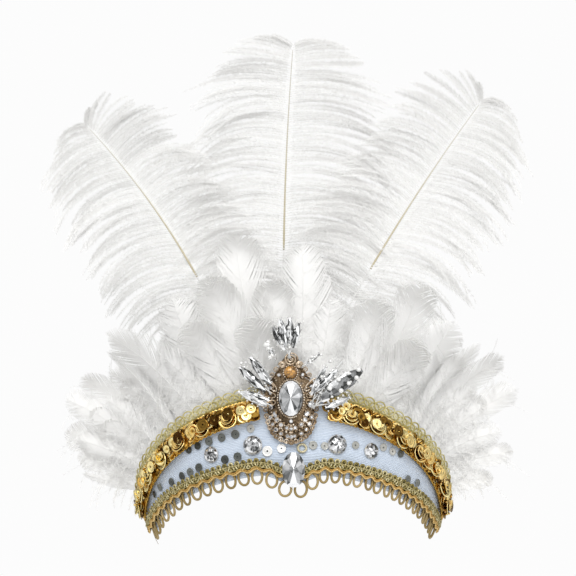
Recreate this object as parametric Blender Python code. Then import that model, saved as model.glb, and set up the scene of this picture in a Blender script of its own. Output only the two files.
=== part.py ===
"""Feather headband: a crescent band with braid, sequin trims, a jewelled brooch and a feather fan.

Lengths are in millimetres until a mesh is made, and meshes are in metres, +Z up.
The front faces -Y. The origin is on the band's inner face, at the front, level with the
middle of the lower braid: the place that rests on the forehead.
"""
import math

import bpy
import bmesh

MM = 0.001
CLEARANCE = 0.3

# The head that the band goes round, and how the band sits on it
HEAD_HALF_WIDTH = 81.5
HEAD_HALF_LENGTH = 87.0
BAND_TILT = math.radians(31.5)
BAND_FLARE = math.radians(25.0)
BAND_REACH = math.radians(84.0)
BAND_WALL = 1.6

# Heights up the band's slope from the line that the lower braid follows
FRONT_RISE = 32.0
RISE_CURVE = 1.5
TOP_HEM = 4.0
LOWER_HEM = 2.6
PEAK_DROP = 6.0
PEAK_HALF_WIDTH = 20.0

# Trims, each a strip laid on the one before it
BRAID_WIDTH = 6.4
BRAID_THICKNESS = 2.0
LOOP_DROP = 11.0
LOOP_SAG = 0.6
LOOP_THICKNESS = 1.2
LOOPS_EACH_SIDE = 15
LOOP_NOTCH = 0.45
LOOP_ROUNDING = 0.6
LOOP_HEAD_SHARE = 0.25
TRIM_WIDTH = 13.0
TRIM_THICKNESS = 4.2
LACE_WIDTH = 6.0
LACE_THICKNESS = 1.0
LACE_PITCH = 5.4
LACE_NOTCH = 1.4
LACE_TUCK = 2.2
DOME_EDGE = 0.25

# Brooch and stones
BROOCH_HALF_WIDTH = 14.3
BROOCH_HALF_HEIGHT = 25.0
BROOCH_RISE = 36.5
BROOCH_THICKNESS = 4.0
BROOCH_SIDE_GAP = 1.5
BROOCH_SHIFT = -1.2
STONE_HALF_WIDTH = 6.7
STONE_HALF_HEIGHT = 10.0
STONE_DEPTH = 4.6
STONE_SHIFT = -0.5
AMBER_RADIUS = 3.6
JEWEL_HALF_WIDTH = 6.4
JEWEL_HALF_HEIGHT = 10.0
JEWEL_LIFT_SHARE = 0.33
CRYSTAL_RADIUS = 4.7
CRYSTAL_HEIGHT_SHARE = 0.7
SEQUIN_RADIUS = 2.5
SEQUIN_THICKNESS = 0.5
EYELET_RADIUS = 2.2
EYELET_WIRE = 0.55
EYELET_ALONG = 4.4
EYELET_HEIGHT_SHARE = 0.4
SPRAY_LENGTH = 22.0
SPRAY_DEPTH = 2.2
PETAL_TAPER = 0.35

# Feathers: the fan's size, the depth of each layer, and how blades thin towards their roots
FAN_HALF_WIDTH = 140.0
FAN_HEIGHT = 250.0
FAN_BOW = 12.0
FAN_LOW = 35.0
FAN_HIGH = 115.0
NOD_START = 150.0
NOD_FALL = 25.0
FEATHER_HALF_WIDTH = 15.0
FEATHER_THICKNESS = 1.5
LAYER_PITCH = 2.5
BODY_LAYERS = 6
PLUME_THICKNESS = 7.0
PLUME_PITCH = 8.5
PLUME_HALF_WIDTH = 56.0
ROOT_SHARE = 0.3
ROOT_DEPTH = 8.0
SPREAD_HEIGHT = 40.0
BLADE_ROUNDING = 0.33

# Rounds of each cut or turned form: share of the outline, share of the thickness
PLATE_LEVELS = ((1.0, 0.0), (1.0, 0.4), (0.8, 0.9), (0.45, 1.0))
STONE_LEVELS = ((0.95, 0.0), (1.0, 0.25), (0.55, 1.0))
AMBER_LEVELS = ((1.0, 0.0), (1.0, 0.4), (0.7, 0.8), (0.3, 1.0))
PETAL_LEVELS = ((0.9, 0.0), (1.0, 0.4), (0.45, 1.0))
CRYSTAL_LEVELS = ((0.9, 0.0), (1.0, 0.43), (0.55, 1.0))
SEQUIN_LEVELS = ((1.0, 0.0), (1.0, 1.0))

# How finely each form is divided
BAND_STATIONS = 61
BRAID_STATIONS = 57
TRIM_STATIONS = 29
LOOP_STATIONS = 12
LACE_STATIONS = 4
DOME_POINTS = 6
PLATE_SIDES = 32
STONE_SIDES = 16
AMBER_SIDES = 14
PETAL_SIDES = 16
CRYSTAL_SIDES = 14
SEQUIN_SIDES = 12
EYELET_SIDES = 14
WIRE_SIDES = 6
FEATHER_GRID = (12, 4)
PLUME_GRID = (18, 7)
SHARP_ANGLE = math.radians(35.0)

# The fan seen from above: share of the head's half width, share of its half length
FAN_PLAN = (
    (0.00, 0.000),
    (0.16, 0.013),
    (0.32, 0.048),
    (0.60, 0.180),
    (0.82, 0.375),
    (0.98, 0.610),
    (1.10, 0.830),
    (1.29, 0.930),
    (1.84, 0.980),
)

# Blade outlines: share of the length from the root, share of the half width
ROUND_OUTLINE = (
    (0.00, 0.10),
    (0.15, 0.38),
    (0.40, 0.85),
    (0.65, 1.00),
    (0.85, 0.90),
    (0.95, 0.62),
    (1.00, 0.20),
)
POINTED_OUTLINE = (
    (0.00, 0.12),
    (0.20, 0.50),
    (0.45, 1.00),
    (0.70, 0.85),
    (0.88, 0.48),
    (0.96, 0.22),
    (1.00, 0.06),
)
PLUME_OUTLINE = (
    (0.00, 0.04),
    (0.20, 0.07),
    (0.34, 0.60),
    (0.50, 0.95),
    (0.68, 1.00),
    (0.86, 0.86),
    (0.96, 0.60),
    (1.00, 0.30),
)

# name, root along the band, tip across, tip up, bend, half width, outline, layer
BODY_FEATHERS = (
    ("feather_centre_left", -0.07, -0.240, 0.545, 0.06, 1.00, ROUND_OUTLINE, 4),
    ("feather_centre", 0.02, 0.035, 0.525, -0.03, 1.05, ROUND_OUTLINE, 5),
    ("feather_left_high", -0.16, -0.350, 0.430, -0.12, 0.95, ROUND_OUTLINE, 1),
    ("feather_left_wide", -0.24, -0.500, 0.400, 0.08, 1.10, ROUND_OUTLINE, 3),
    ("feather_left_long", -0.36, -0.800, 0.316, -0.10, 1.10, POINTED_OUTLINE, 2),
    ("feather_left_thin", -0.50, -0.786, 0.272, -0.08, 0.30, POINTED_OUTLINE, 0),
    ("feather_left_curl_high", -0.58, -0.900, 0.208, -0.08, 0.55, ROUND_OUTLINE, 1),
    ("feather_left_curl_middle", -0.68, -0.980, 0.157, -0.10, 0.60, ROUND_OUTLINE, 0),
    ("feather_left_curl_low", -0.74, -0.970, 0.076, -0.08, 0.65, ROUND_OUTLINE, 2),
    ("feather_left_wisp", -0.80, -0.900, -0.020, 0.10, 0.25, POINTED_OUTLINE, 1),
    ("feather_right_high", 0.18, 0.520, 0.430, -0.14, 0.95, ROUND_OUTLINE, 1),
    ("feather_right_wide", 0.28, 0.680, 0.348, -0.10, 1.10, ROUND_OUTLINE, 3),
    ("feather_right_pale", 0.42, 0.786, 0.294, -0.08, 0.60, POINTED_OUTLINE, 2),
    ("feather_right_curl_high", 0.55, 0.886, 0.255, 0.10, 0.55, ROUND_OUTLINE, 1),
    ("feather_right_curl_middle", 0.66, 0.964, 0.180, 0.12, 0.60, ROUND_OUTLINE, 0),
    ("feather_right_low", 0.74, 0.936, 0.030, 0.06, 0.45, ROUND_OUTLINE, 2),
)

# name, root along the band, tip across, tip up, bend, left half width, right half width, layer
PLUMES = (
    ("plume_left", -0.10, -0.930, 0.825, -0.04, 0.96, 0.64, 0),
    ("plume_right", 0.05, 0.830, 0.865, 0.04, 0.78, 1.02, 1),
    ("plume_centre", -0.02, -0.003, 1.000, 0.01, 1.02, 1.04, 2),
)

# Half of the brooch's outline: share of its half height from its middle, share of its half width
BROOCH_OUTLINE = (
    (-1.00, 0.00),
    (-0.94, 0.36),
    (-0.78, 0.70),
    (-0.45, 0.94),
    (-0.05, 1.00),
    (0.32, 0.95),
    (0.58, 0.66),
    (0.80, 0.40),
    (0.95, 0.28),
    (1.00, 0.00),
)

# name, foot across and up in shares of the brooch's half sizes, heading in degrees from upright,
# length and half width in shares of the spray length, level
SPRAYS = (
    ("spray_top", -0.05, 0.95, -9.0, 0.95, 0.36, 0),
    ("spray_left", -0.85, 0.15, -36.0, 1.05, 0.20, 0),
    ("spray_left_low", -0.85, -0.15, -60.0, 0.95, 0.16, 1),
    ("spray_right_thin", 0.53, 0.72, 52.0, 0.62, 0.09, 0),
    ("spray_right_inner", 0.88, -0.04, 27.0, 1.08, 0.20, 0),
    ("spray_right_outer", 0.95, -0.18, 49.0, 1.45, 0.29, 1),
    ("bead_cluster", -0.64, 0.90, -28.0, 0.40, 0.16, 1),
)

# name, share of the half arc, share of the height from braid to trim, share of the crystal radius
CRYSTALS = (
    ("crystal_left_inner", -0.173, 0.40, 1.00),
    ("crystal_left_outer", -0.368, 0.47, 0.85),
    ("crystal_right_inner", 0.185, 0.44, 1.00),
    ("crystal_right_outer", 0.343, 0.53, 0.82),
)

# share of the half arc, share of the height from braid to trim, share of the sequin radius
WHITE_SEQUINS = (
    (-0.173, 0.86, 0.95),
    (-0.112, 0.24, 1.20),
    (-0.051, 0.37, 1.05),
    (0.082, 0.41, 1.00),
    (0.132, 0.36, 0.90),
    (0.265, 0.54, 0.90),
    (0.395, 0.80, 0.90),
    (0.445, 0.83, 0.90),
)
GREY_SEQUINS = (
    (-0.240, 0.81, 1.00),
    (-0.302, 0.85, 0.95),
    (-0.363, 0.90, 0.95),
    (-0.421, 0.95, 0.90),
    (-0.246, 0.18, 0.95),
    (-0.307, 0.19, 0.95),
    (-0.445, 0.23, 0.95),
    (-0.499, 0.23, 0.90),
    (-0.552, 0.26, 0.90),
    (-0.630, 0.33, 0.90),
)

# name of the finish: colour, roughness, metallic
FINISHES = {
    "satin": ((0.60, 0.72, 0.82), 0.45, 0.0),
    "braid": ((0.55, 0.45, 0.20), 0.45, 0.5),
    "cord": ((0.52, 0.42, 0.24), 0.50, 0.4),
    "sequin_gold": ((0.80, 0.52, 0.12), 0.22, 1.0),
    "lace": ((0.66, 0.66, 0.45), 0.60, 0.2),
    "brooch_metal": ((0.42, 0.30, 0.18), 0.32, 1.0),
    "crystal": ((0.90, 0.92, 0.94), 0.05, 0.0),
    "amber": ((0.80, 0.50, 0.18), 0.10, 0.0),
    "sequin_white": ((0.86, 0.88, 0.90), 0.25, 0.6),
    "sequin_grey": ((0.40, 0.43, 0.43), 0.25, 0.9),
    "plume": ((0.95, 0.94, 0.91), 0.85, 0.0),
    "feather": ((0.92, 0.91, 0.89), 0.75, 0.0),
}

# The sequin trim's middle line ends just clear of the braid
END_RISE = (BRAID_WIDTH + TRIM_WIDTH) / 2.0 + CLEARANCE

# Heights off the inner face at which each layer starts
FACE_OFF = BAND_WALL + CLEARANCE
BRAID_OFF = FACE_OFF + LOOP_THICKNESS + CLEARANCE
TRIM_OFF = FACE_OFF + LACE_THICKNESS + CLEARANCE
JEWEL_OFF = BRAID_OFF + BRAID_THICKNESS + CLEARANCE
STONE_OFF = FACE_OFF + BROOCH_THICKNESS + CLEARANCE
SPRAY_OFF = TRIM_OFF + TRIM_THICKNESS + CLEARANCE
FRONT_LEAN = math.tan(BAND_TILT - BAND_FLARE)


def smooth_step(value):
    """Ease from 0 to 1."""
    value = min(1.0, max(0.0, value))
    return value * value * (3.0 - 2.0 * value)


def read_curve(rows, place):
    """Value at a place on a smooth curve through rows of (place, value)."""
    last = len(rows) - 1
    place = min(max(place, rows[0][0]), rows[last][0])
    index = 0
    while index < last - 1 and place > rows[index + 1][0]:
        index += 1

    def slope(at):
        low, high = max(at - 1, 0), min(at + 1, last)
        return (rows[high][1] - rows[low][1]) / (rows[high][0] - rows[low][0])

    (start, low_value), (end, high_value) = rows[index], rows[index + 1]
    span = end - start
    share = (place - start) / span
    ease = smooth_step(share)
    leave = share * (1.0 - share) ** 2 * span * slope(index)
    arrive = share * share * (share - 1.0) * span * slope(index + 1)
    return low_value * (1.0 - ease) + high_value * ease + leave + arrive


def tilted_point(angle, rise, off):
    """A point by its angle round the head, its rise up the slope and its height off the inner face."""
    side = HEAD_HALF_WIDTH * math.sin(angle)
    back = HEAD_HALF_LENGTH * (1.0 - math.cos(angle))
    out_side = HEAD_HALF_LENGTH * math.sin(angle)
    out_back = -HEAD_HALF_WIDTH * math.cos(angle)
    size = math.hypot(out_side, out_back)
    outward = rise * math.sin(BAND_FLARE) + off * math.cos(BAND_FLARE)
    upward = rise * math.cos(BAND_FLARE) - off * math.sin(BAND_FLARE)
    side += outward * out_side / size
    back += outward * out_back / size
    depth = back * math.cos(BAND_TILT) + upward * math.sin(BAND_TILT)
    height = upward * math.cos(BAND_TILT) - back * math.sin(BAND_TILT)
    return side, depth, height


ORIGIN = tilted_point(0.0, -PEAK_DROP, 0.0)


def arc_table(steps=240):
    """Angles, and the length along the head curve up to each."""
    angles = [BAND_REACH * step / steps for step in range(steps + 1)]
    lengths = [0.0]
    for first, second in zip(angles, angles[1:]):
        middle = (first + second) / 2.0
        speed = math.hypot(HEAD_HALF_WIDTH * math.cos(middle), HEAD_HALF_LENGTH * math.sin(middle))
        lengths.append(lengths[-1] + speed * (second - first))
    return angles, lengths


ARC_ANGLES, ARC_LENGTHS = arc_table()
HALF_ARC = ARC_LENGTHS[-1]


def angle_at(along):
    """Angle round the head at a signed length along the band from its front."""
    length = min(abs(along), HALF_ARC)
    place = 0
    while place < len(ARC_LENGTHS) - 2 and ARC_LENGTHS[place + 1] < length:
        place += 1
    span = ARC_LENGTHS[place + 1] - ARC_LENGTHS[place]
    share = (length - ARC_LENGTHS[place]) / span
    angle = ARC_ANGLES[place] + share * (ARC_ANGLES[place + 1] - ARC_ANGLES[place])
    return math.copysign(angle, along)


def on_band(along, rise, off):
    """World place, in millimetres, of a point given on the band's slope."""
    point = tilted_point(angle_at(along), rise, off)
    return tuple(value - start for value, start in zip(point, ORIGIN))


def girth(rise, off):
    """How much wider the flared band is at that height than on the head curve, at the front."""
    radius = HEAD_HALF_WIDTH ** 2 / HEAD_HALF_LENGTH
    return 1.0 + (rise * math.sin(BAND_FLARE) + off * math.cos(BAND_FLARE)) / radius


def peak(along):
    """Rise of the lower braid: level, with a dip to a point at the front."""
    share = min(1.0, abs(along) / PEAK_HALF_WIDTH)
    return -PEAK_DROP * math.cos(math.pi / 2.0 * share) ** 2


def trim_rise(along):
    """Rise of the sequin trim's middle line."""
    share = min(1.0, abs(along) / HALF_ARC)
    return END_RISE + (FRONT_RISE - END_RISE) * (1.0 - share ** RISE_CURVE)


def top_rise(along):
    """Rise of the band's upper edge."""
    return trim_rise(along) + TOP_HEM


def spread(start, end, count):
    """Evenly spaced values from start to end."""
    return [start + (end - start) * step / (count - 1) for step in range(count)]


def finish(name):
    """The material of that name, made when it is first asked for."""
    material = bpy.data.materials.get(name)
    if material is None:
        colour, roughness, metallic = FINISHES[name]
        material = bpy.data.materials.new(name)
        material.use_nodes = True
        shader = material.node_tree.nodes["Principled BSDF"]
        shader.inputs["Base Color"].default_value = (*colour, 1.0)
        shader.inputs["Roughness"].default_value = roughness
        shader.inputs["Metallic"].default_value = metallic
        material.diffuse_color = (*colour, 1.0)
    return material


def lofted(name, rings, finish_name, closed=False):
    """One closed body through rings of points, with flat ends unless it closes on itself."""
    mesh_data = bmesh.new()
    rows = [[mesh_data.verts.new([value * MM for value in point]) for point in ring] for ring in rings]
    pairs = list(zip(rows, rows[1:]))
    if closed:
        pairs.append((rows[-1], rows[0]))
    for low, high in pairs:
        for index in range(len(low)):
            following = (index + 1) % len(low)
            mesh_data.faces.new((low[index], low[following], high[following], high[index]))
    if not closed:
        mesh_data.faces.new(list(reversed(rows[0])))
        mesh_data.faces.new(rows[-1])
    bmesh.ops.triangulate(mesh_data, faces=mesh_data.faces)
    bmesh.ops.recalc_face_normals(mesh_data, faces=mesh_data.faces)
    mesh = bpy.data.meshes.new(name)
    mesh_data.to_mesh(mesh)
    mesh_data.free()
    mesh.shade_smooth()
    mesh.set_sharp_from_angle(angle=SHARP_ANGLE)
    mesh.materials.append(finish(finish_name))
    thing = bpy.data.objects.new(name, mesh)
    bpy.context.collection.objects.link(thing)
    return thing


def strip(name, places, section, finish_name):
    """A strip along the band: section gives (rise, off) points at each length along it."""
    rings = []
    for along in places:
        rings.append([on_band(along, rise, off) for rise, off in section(along)])
    return lofted(name, rings, finish_name)


def dome(middle, half_width, base, height):
    """Section of a rounded strip: a flat back and a crowned front."""
    section = []
    edge = DOME_EDGE * height
    for angle in spread(0.0, math.pi, DOME_POINTS):
        lift = edge + (height - edge) * math.sin(angle)
        section.append((middle - half_width * math.cos(angle), base + lift))
    section.append((middle + half_width, base))
    section.append((middle - half_width, base))
    return section


def pad(name, place, outline, base, thickness, levels, finish_name):
    """A stone or plate at an (along, rise) place: its outline, scaled at each level above its base."""
    along, rise = place
    rings = []
    for share, lift in levels:
        off = base + lift * thickness
        ring = []
        for across, up in outline:
            height = rise + up * share
            ring.append(on_band(along + across * share / girth(height, off), height, off))
        rings.append(ring)
    return lofted(name, rings, finish_name)


def oval(half_width, half_height, sides):
    """Points round an ellipse."""
    turns = [math.tau * side / sides for side in range(sides)]
    return [(half_width * math.sin(turn), half_height * math.cos(turn)) for turn in turns]


def make_band():
    """The satin-covered crescent, a wall of even thickness that flares from the head."""
    def section(along):
        low = peak(along) - BRAID_WIDTH / 2.0 - LOWER_HEM
        high = top_rise(along)
        return [(low, 0.0), (low, BAND_WALL), (high, BAND_WALL), (high, 0.0)]

    strip("band", spread(-HALF_ARC, HALF_ARC, BAND_STATIONS), section, "satin")


def make_lower_braid():
    """The braid along the lower edge, over the heads of the loops."""
    def section(along):
        return dome(peak(along), BRAID_WIDTH / 2.0, BRAID_OFF, BRAID_THICKNESS)

    strip("lower_braid", spread(-HALF_ARC, HALF_ARC, BRAID_STATIONS), section, "braid")


def make_loop_fringe():
    """Outer form of the cord loops that hang below the braid."""
    pitch = HALF_ARC / LOOPS_EACH_SIDE

    def section(along):
        hang = abs(math.sin(math.pi * along / pitch)) ** LOOP_ROUNDING
        low = peak(along) * (1.0 + LOOP_SAG) - LOOP_DROP * (1.0 - LOOP_NOTCH * (1.0 - hang))
        high = peak(along) + BRAID_WIDTH * LOOP_HEAD_SHARE
        outer = FACE_OFF + LOOP_THICKNESS
        return [(low, FACE_OFF), (low, outer), (high, outer), (high, FACE_OFF)]

    stations = LOOP_STATIONS * LOOPS_EACH_SIDE + 1
    strip("loop_fringe", spread(-HALF_ARC, HALF_ARC, stations), section, "cord")


def make_upper_trims():
    """Sequin trim and the lace edge behind it, each side of the brooch."""
    start = (BROOCH_HALF_WIDTH + abs(BROOCH_SHIFT) + BROOCH_SIDE_GAP) / girth(END_RISE, 0.0)
    lace_count = int((HALF_ARC - start) / LACE_PITCH)

    def trim_section(along):
        return dome(trim_rise(along), TRIM_WIDTH / 2.0, TRIM_OFF, TRIM_THICKNESS)

    def lace_section(along):
        hang = abs(math.sin(math.pi * (abs(along) - start) / ((HALF_ARC - start) / lace_count)))
        low = trim_rise(along) - LACE_TUCK
        high = trim_rise(along) + TRIM_WIDTH / 2.0 + LACE_WIDTH - LACE_NOTCH * (1.0 - hang)
        outer = FACE_OFF + LACE_THICKNESS
        return [(low, FACE_OFF), (low, outer), (high, outer), (high, FACE_OFF)]

    for side, sign in (("left", -1.0), ("right", 1.0)):
        places = spread(sign * start, sign * HALF_ARC, TRIM_STATIONS)
        strip("sequin_trim_" + side, places, trim_section, "sequin_gold")
        places = spread(sign * start, sign * HALF_ARC, LACE_STATIONS * lace_count + 1)
        strip("lace_edge_" + side, places, lace_section, "lace")


def make_brooch():
    """Pear-shaped plate with its oval stone and the small amber stone above it."""
    outline = []
    for side, up in oval(1.0, 1.0, PLATE_SIDES):
        wide = math.copysign(max(0.0, read_curve(BROOCH_OUTLINE, up)), side)
        outline.append((wide * BROOCH_HALF_WIDTH, up * BROOCH_HALF_HEIGHT))
    place = (BROOCH_SHIFT, BROOCH_RISE)
    pad("brooch_plate", place, outline, FACE_OFF, BROOCH_THICKNESS, PLATE_LEVELS, "brooch_metal")
    outline = oval(STONE_HALF_WIDTH, STONE_HALF_HEIGHT, STONE_SIDES)
    place = (BROOCH_SHIFT, BROOCH_RISE + STONE_SHIFT)
    pad("brooch_stone", place, outline, STONE_OFF, STONE_DEPTH, STONE_LEVELS, "crystal")
    outline = oval(AMBER_RADIUS, AMBER_RADIUS, AMBER_SIDES)
    place = (BROOCH_SHIFT, BROOCH_RISE + STONE_HALF_HEIGHT + AMBER_RADIUS + 2.0 * CLEARANCE)
    pad("brooch_amber", place, outline, STONE_OFF, AMBER_RADIUS, AMBER_LEVELS, "amber")


def make_jewel():
    """The oval stone over the braid's point."""
    depth = STONE_DEPTH * JEWEL_HALF_WIDTH / STONE_HALF_WIDTH
    outline = oval(JEWEL_HALF_WIDTH, JEWEL_HALF_HEIGHT, STONE_SIDES)
    place = (0.0, BRAID_WIDTH * JEWEL_LIFT_SHARE - PEAK_DROP)
    pad("point_jewel", place, outline, JEWEL_OFF, depth, STONE_LEVELS, "crystal")


def make_sprays():
    """Pointed crystal petals and beads that stand out round the brooch."""
    for name, foot_across, foot_up, heading, length, half_width, level in SPRAYS:
        turn = math.radians(heading)
        half_length = length * SPRAY_LENGTH / 2.0
        outline = []
        for across, up in oval(1.0, 1.0, PETAL_SIDES):
            swell = 1.0 - PETAL_TAPER * up * up
            wide, long = across * half_width * SPRAY_LENGTH * swell, up * half_length
            outline.append((
                wide * math.cos(turn) + long * math.sin(turn),
                long * math.cos(turn) - wide * math.sin(turn),
            ))
        base = SPRAY_OFF + level * (SPRAY_DEPTH + CLEARANCE)
        rise = BROOCH_RISE + foot_up * BROOCH_HALF_HEIGHT + half_length * math.cos(turn)
        across = BROOCH_SHIFT + foot_across * BROOCH_HALF_WIDTH + half_length * math.sin(turn)
        place = (across / girth(rise, base), rise)
        pad(name, place, outline, base, SPRAY_DEPTH, PETAL_LEVELS, "crystal")


def field_rise(along, share):
    """Rise of a place on the bare satin, by its share of the height from the braid to the trim."""
    low = peak(along) + BRAID_WIDTH / 2.0
    high = trim_rise(along) - TRIM_WIDTH / 2.0
    return low + (high - low) * share


def make_field_stones():
    """Round crystals, flat sequins and one ring sewn to the satin."""
    for name, share, height, size in CRYSTALS:
        radius = CRYSTAL_RADIUS * size
        place = (share * HALF_ARC, field_rise(share * HALF_ARC, height))
        outline = oval(radius, radius, CRYSTAL_SIDES)
        pad(name, place, outline, FACE_OFF, CRYSTAL_HEIGHT_SHARE * radius, CRYSTAL_LEVELS, "crystal")
    for kind, rows in (("white", WHITE_SEQUINS), ("grey", GREY_SEQUINS)):
        for number, (share, height, size) in enumerate(rows, 1):
            place = (share * HALF_ARC, field_rise(share * HALF_ARC, height))
            outline = oval(SEQUIN_RADIUS * size, SEQUIN_RADIUS * size, SEQUIN_SIDES)
            name = f"sequin_{kind}_{number:02d}"
            pad(name, place, outline, FACE_OFF, SEQUIN_THICKNESS, SEQUIN_LEVELS, "sequin_" + kind)
    rings = []
    for around in oval(1.0, 1.0, EYELET_SIDES):
        ring = []
        for out, lift in oval(EYELET_WIRE, EYELET_WIRE, WIRE_SIDES):
            reach = EYELET_RADIUS + out
            along = EYELET_ALONG + around[0] * reach
            rise = field_rise(0.0, EYELET_HEIGHT_SHARE) + around[1] * reach
            ring.append(on_band(along, rise, FACE_OFF + EYELET_WIRE + lift))
        rings.append(ring)
    lofted("sequin_ring", rings, "sequin_gold", closed=True)


def fan_depth(across, height):
    """Depth of the fan's front at a place seen from the front."""
    low = HEAD_HALF_LENGTH * read_curve(FAN_PLAN, abs(across) / HEAD_HALF_WIDTH)
    high = FAN_BOW * (across / HEAD_HALF_WIDTH) ** 2
    lifted = smooth_step((height - FAN_LOW) / (FAN_HIGH - FAN_LOW))
    nod = max(0.0, height - NOD_START) / (FAN_HEIGHT - NOD_START)
    lean = FRONT_LEAN * min(height, FAN_HEIGHT) - NOD_FALL * nod * nod
    return low * (1.0 - lifted) + high * lifted + lean + CLEARANCE * 2.0


def fullness(across, height):
    """How far the layers have spread: small at the roots, whole above the band."""
    top = top_rise(0.0) + PEAK_DROP
    crest = top - top * (across / HEAD_HALF_WIDTH) ** 2
    return ROOT_SHARE + (1.0 - ROOT_SHARE) * smooth_step((height - crest) / SPREAD_HEIGHT)


def blade(name, quill, outline, widths, layer, grid, finish_name):
    """A feather's body on its (root, tip, bend) quill, in its own (start, thickness) layer of the fan."""
    root, tip, bend = quill
    start, thickness = layer
    stations, columns = grid
    run, climb = tip[0] - root[0], tip[1] - root[1]
    bow = (root[0] + run / 2.0 - climb * bend, root[1] + climb / 2.0 + run * bend)
    rings = []
    for share in spread(0.0, 1.0, stations):
        rest = 1.0 - share
        near, mid, far = rest * rest, 2.0 * rest * share, share * share
        middle = [near * root[i] + mid * bow[i] + far * tip[i] for i in (0, 1)]
        heading = [rest * (bow[i] - root[i]) + share * (tip[i] - bow[i]) for i in (0, 1)]
        size = math.hypot(*heading)
        swell = read_curve(outline, share)
        front, back = [], []
        for column in spread(-1.0, 1.0, columns):
            reach = column * swell * widths[column > 0.0]
            across = middle[0] + reach * heading[1] / size
            height = middle[1] - reach * heading[0] / size
            full = fullness(across, height)
            face = fan_depth(across, height) + start * full
            deep = thickness * full
            inset = BLADE_ROUNDING * deep * column * column
            front.append((across, face + inset, height))
            back.append((across, face + deep - inset, height))
        rings.append(front + back[::-1])
    lofted(name, rings, finish_name)


def root_place(along):
    """Where a quill is fixed: inside the band, a little below its upper edge."""
    across, _, height = on_band(along, top_rise(along) - ROOT_DEPTH, 0.0)
    return across, height


def make_feathers():
    """The body feathers along the band and the three plumes behind them."""
    for name, along, across, height, bend, half_width, outline, layer in BODY_FEATHERS:
        quill = (root_place(along * HALF_ARC), (across * FAN_HALF_WIDTH, height * FAN_HEIGHT), bend)
        widths = (half_width * FEATHER_HALF_WIDTH, half_width * FEATHER_HALF_WIDTH)
        depths = (layer * LAYER_PITCH, FEATHER_THICKNESS)
        blade(name, quill, outline, widths, depths, FEATHER_GRID, "feather")
    for name, along, across, height, bend, left, right, layer in PLUMES:
        quill = (root_place(along * HALF_ARC), (across * FAN_HALF_WIDTH, height * FAN_HEIGHT), bend)
        widths = (left * PLUME_HALF_WIDTH, right * PLUME_HALF_WIDTH)
        depths = (BODY_LAYERS * LAYER_PITCH + layer * PLUME_PITCH, PLUME_THICKNESS)
        blade(name, quill, PLUME_OUTLINE, widths, depths, PLUME_GRID, "plume")


def main():
    """Clear the scene and build every piece."""
    for thing in list(bpy.data.objects):
        bpy.data.objects.remove(thing, do_unlink=True)
    make_band()
    make_lower_braid()
    make_loop_fringe()
    make_upper_trims()
    make_brooch()
    make_jewel()
    make_sprays()
    make_field_stones()
    make_feathers()


main()
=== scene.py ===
"""Feather headband: the finished surfaces, laid round the fixed frame of its construction.

Lengths are in millimetres until a mesh is made, and meshes are in metres.
The front faces -Y and +Z is up. Places on the band are told by their length along it
from the front, their rise up its slope and their height off its inner face.
"""
import math

import bmesh
import bpy
import numpy as np
from bpy.props import FloatProperty, FloatVectorProperty, IntProperty, PointerProperty
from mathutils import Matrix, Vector


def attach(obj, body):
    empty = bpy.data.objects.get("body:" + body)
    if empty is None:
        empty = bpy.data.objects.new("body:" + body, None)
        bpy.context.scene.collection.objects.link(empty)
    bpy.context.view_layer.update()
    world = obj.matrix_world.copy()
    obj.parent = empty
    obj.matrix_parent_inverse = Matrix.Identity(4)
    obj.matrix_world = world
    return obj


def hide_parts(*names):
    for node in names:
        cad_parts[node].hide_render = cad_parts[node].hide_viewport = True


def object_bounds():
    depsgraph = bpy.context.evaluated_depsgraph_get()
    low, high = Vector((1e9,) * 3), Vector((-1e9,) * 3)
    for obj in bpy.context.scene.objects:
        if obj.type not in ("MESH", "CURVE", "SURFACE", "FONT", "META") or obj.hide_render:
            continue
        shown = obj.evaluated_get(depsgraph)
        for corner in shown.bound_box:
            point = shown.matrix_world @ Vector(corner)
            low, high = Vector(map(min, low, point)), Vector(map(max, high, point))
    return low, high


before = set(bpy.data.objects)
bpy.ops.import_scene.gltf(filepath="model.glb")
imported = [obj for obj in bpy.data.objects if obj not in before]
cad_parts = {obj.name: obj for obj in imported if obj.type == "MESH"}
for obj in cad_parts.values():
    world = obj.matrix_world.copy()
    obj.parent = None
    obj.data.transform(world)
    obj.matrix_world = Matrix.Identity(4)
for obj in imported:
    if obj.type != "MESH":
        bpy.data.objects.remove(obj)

bl_info = {
    "name": "Feather headband",
    "version": (1, 0, 0),
    "blender": (4, 5, 0),
    "location": "View3D > Sidebar > Headband",
    "description": "Builds the finished surfaces of a feather headband round its frame",
    "category": "Object",
}

CAD_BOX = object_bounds()
MM = 0.001
BODY = "root"

# The head curve and the slope of the band on it
CLEARANCE = 0.3
HEAD_HALF_WIDTH = 81.5
HEAD_HALF_LENGTH = 87.0
BAND_TILT = math.radians(31.5)
BAND_FLARE = math.radians(25.0)
BAND_REACH = math.radians(84.0)
BAND_WALL = 1.6
FRONT_RISE = 32.0
RISE_CURVE = 1.5
TOP_HEM = 4.0
LOWER_HEM = 2.6
PEAK_DROP = 6.0
PEAK_HALF_WIDTH = 20.0

# Trims
BRAID_WIDTH = 6.4
BRAID_THICKNESS = 2.0
CORD_TWIST = 1.7
LOOP_DROP = 11.0
LOOP_SAG = 0.6
LOOP_THICKNESS = 1.2
LOOP_HEIGHT = (8.2, 9.0)
LOOP_HALF_WIDTH = (2.85, 3.1)
LOOPS_LEFT = 15
LOOPS_RIGHT = 18
TRIM_WIDTH = 13.0
TRIM_THICKNESS = 4.2
CUP_PITCH = 14.6
TRIM_BEADS = 60
LACE_THICKNESS = 1.0
LACE_PITCH = 5.4

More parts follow.
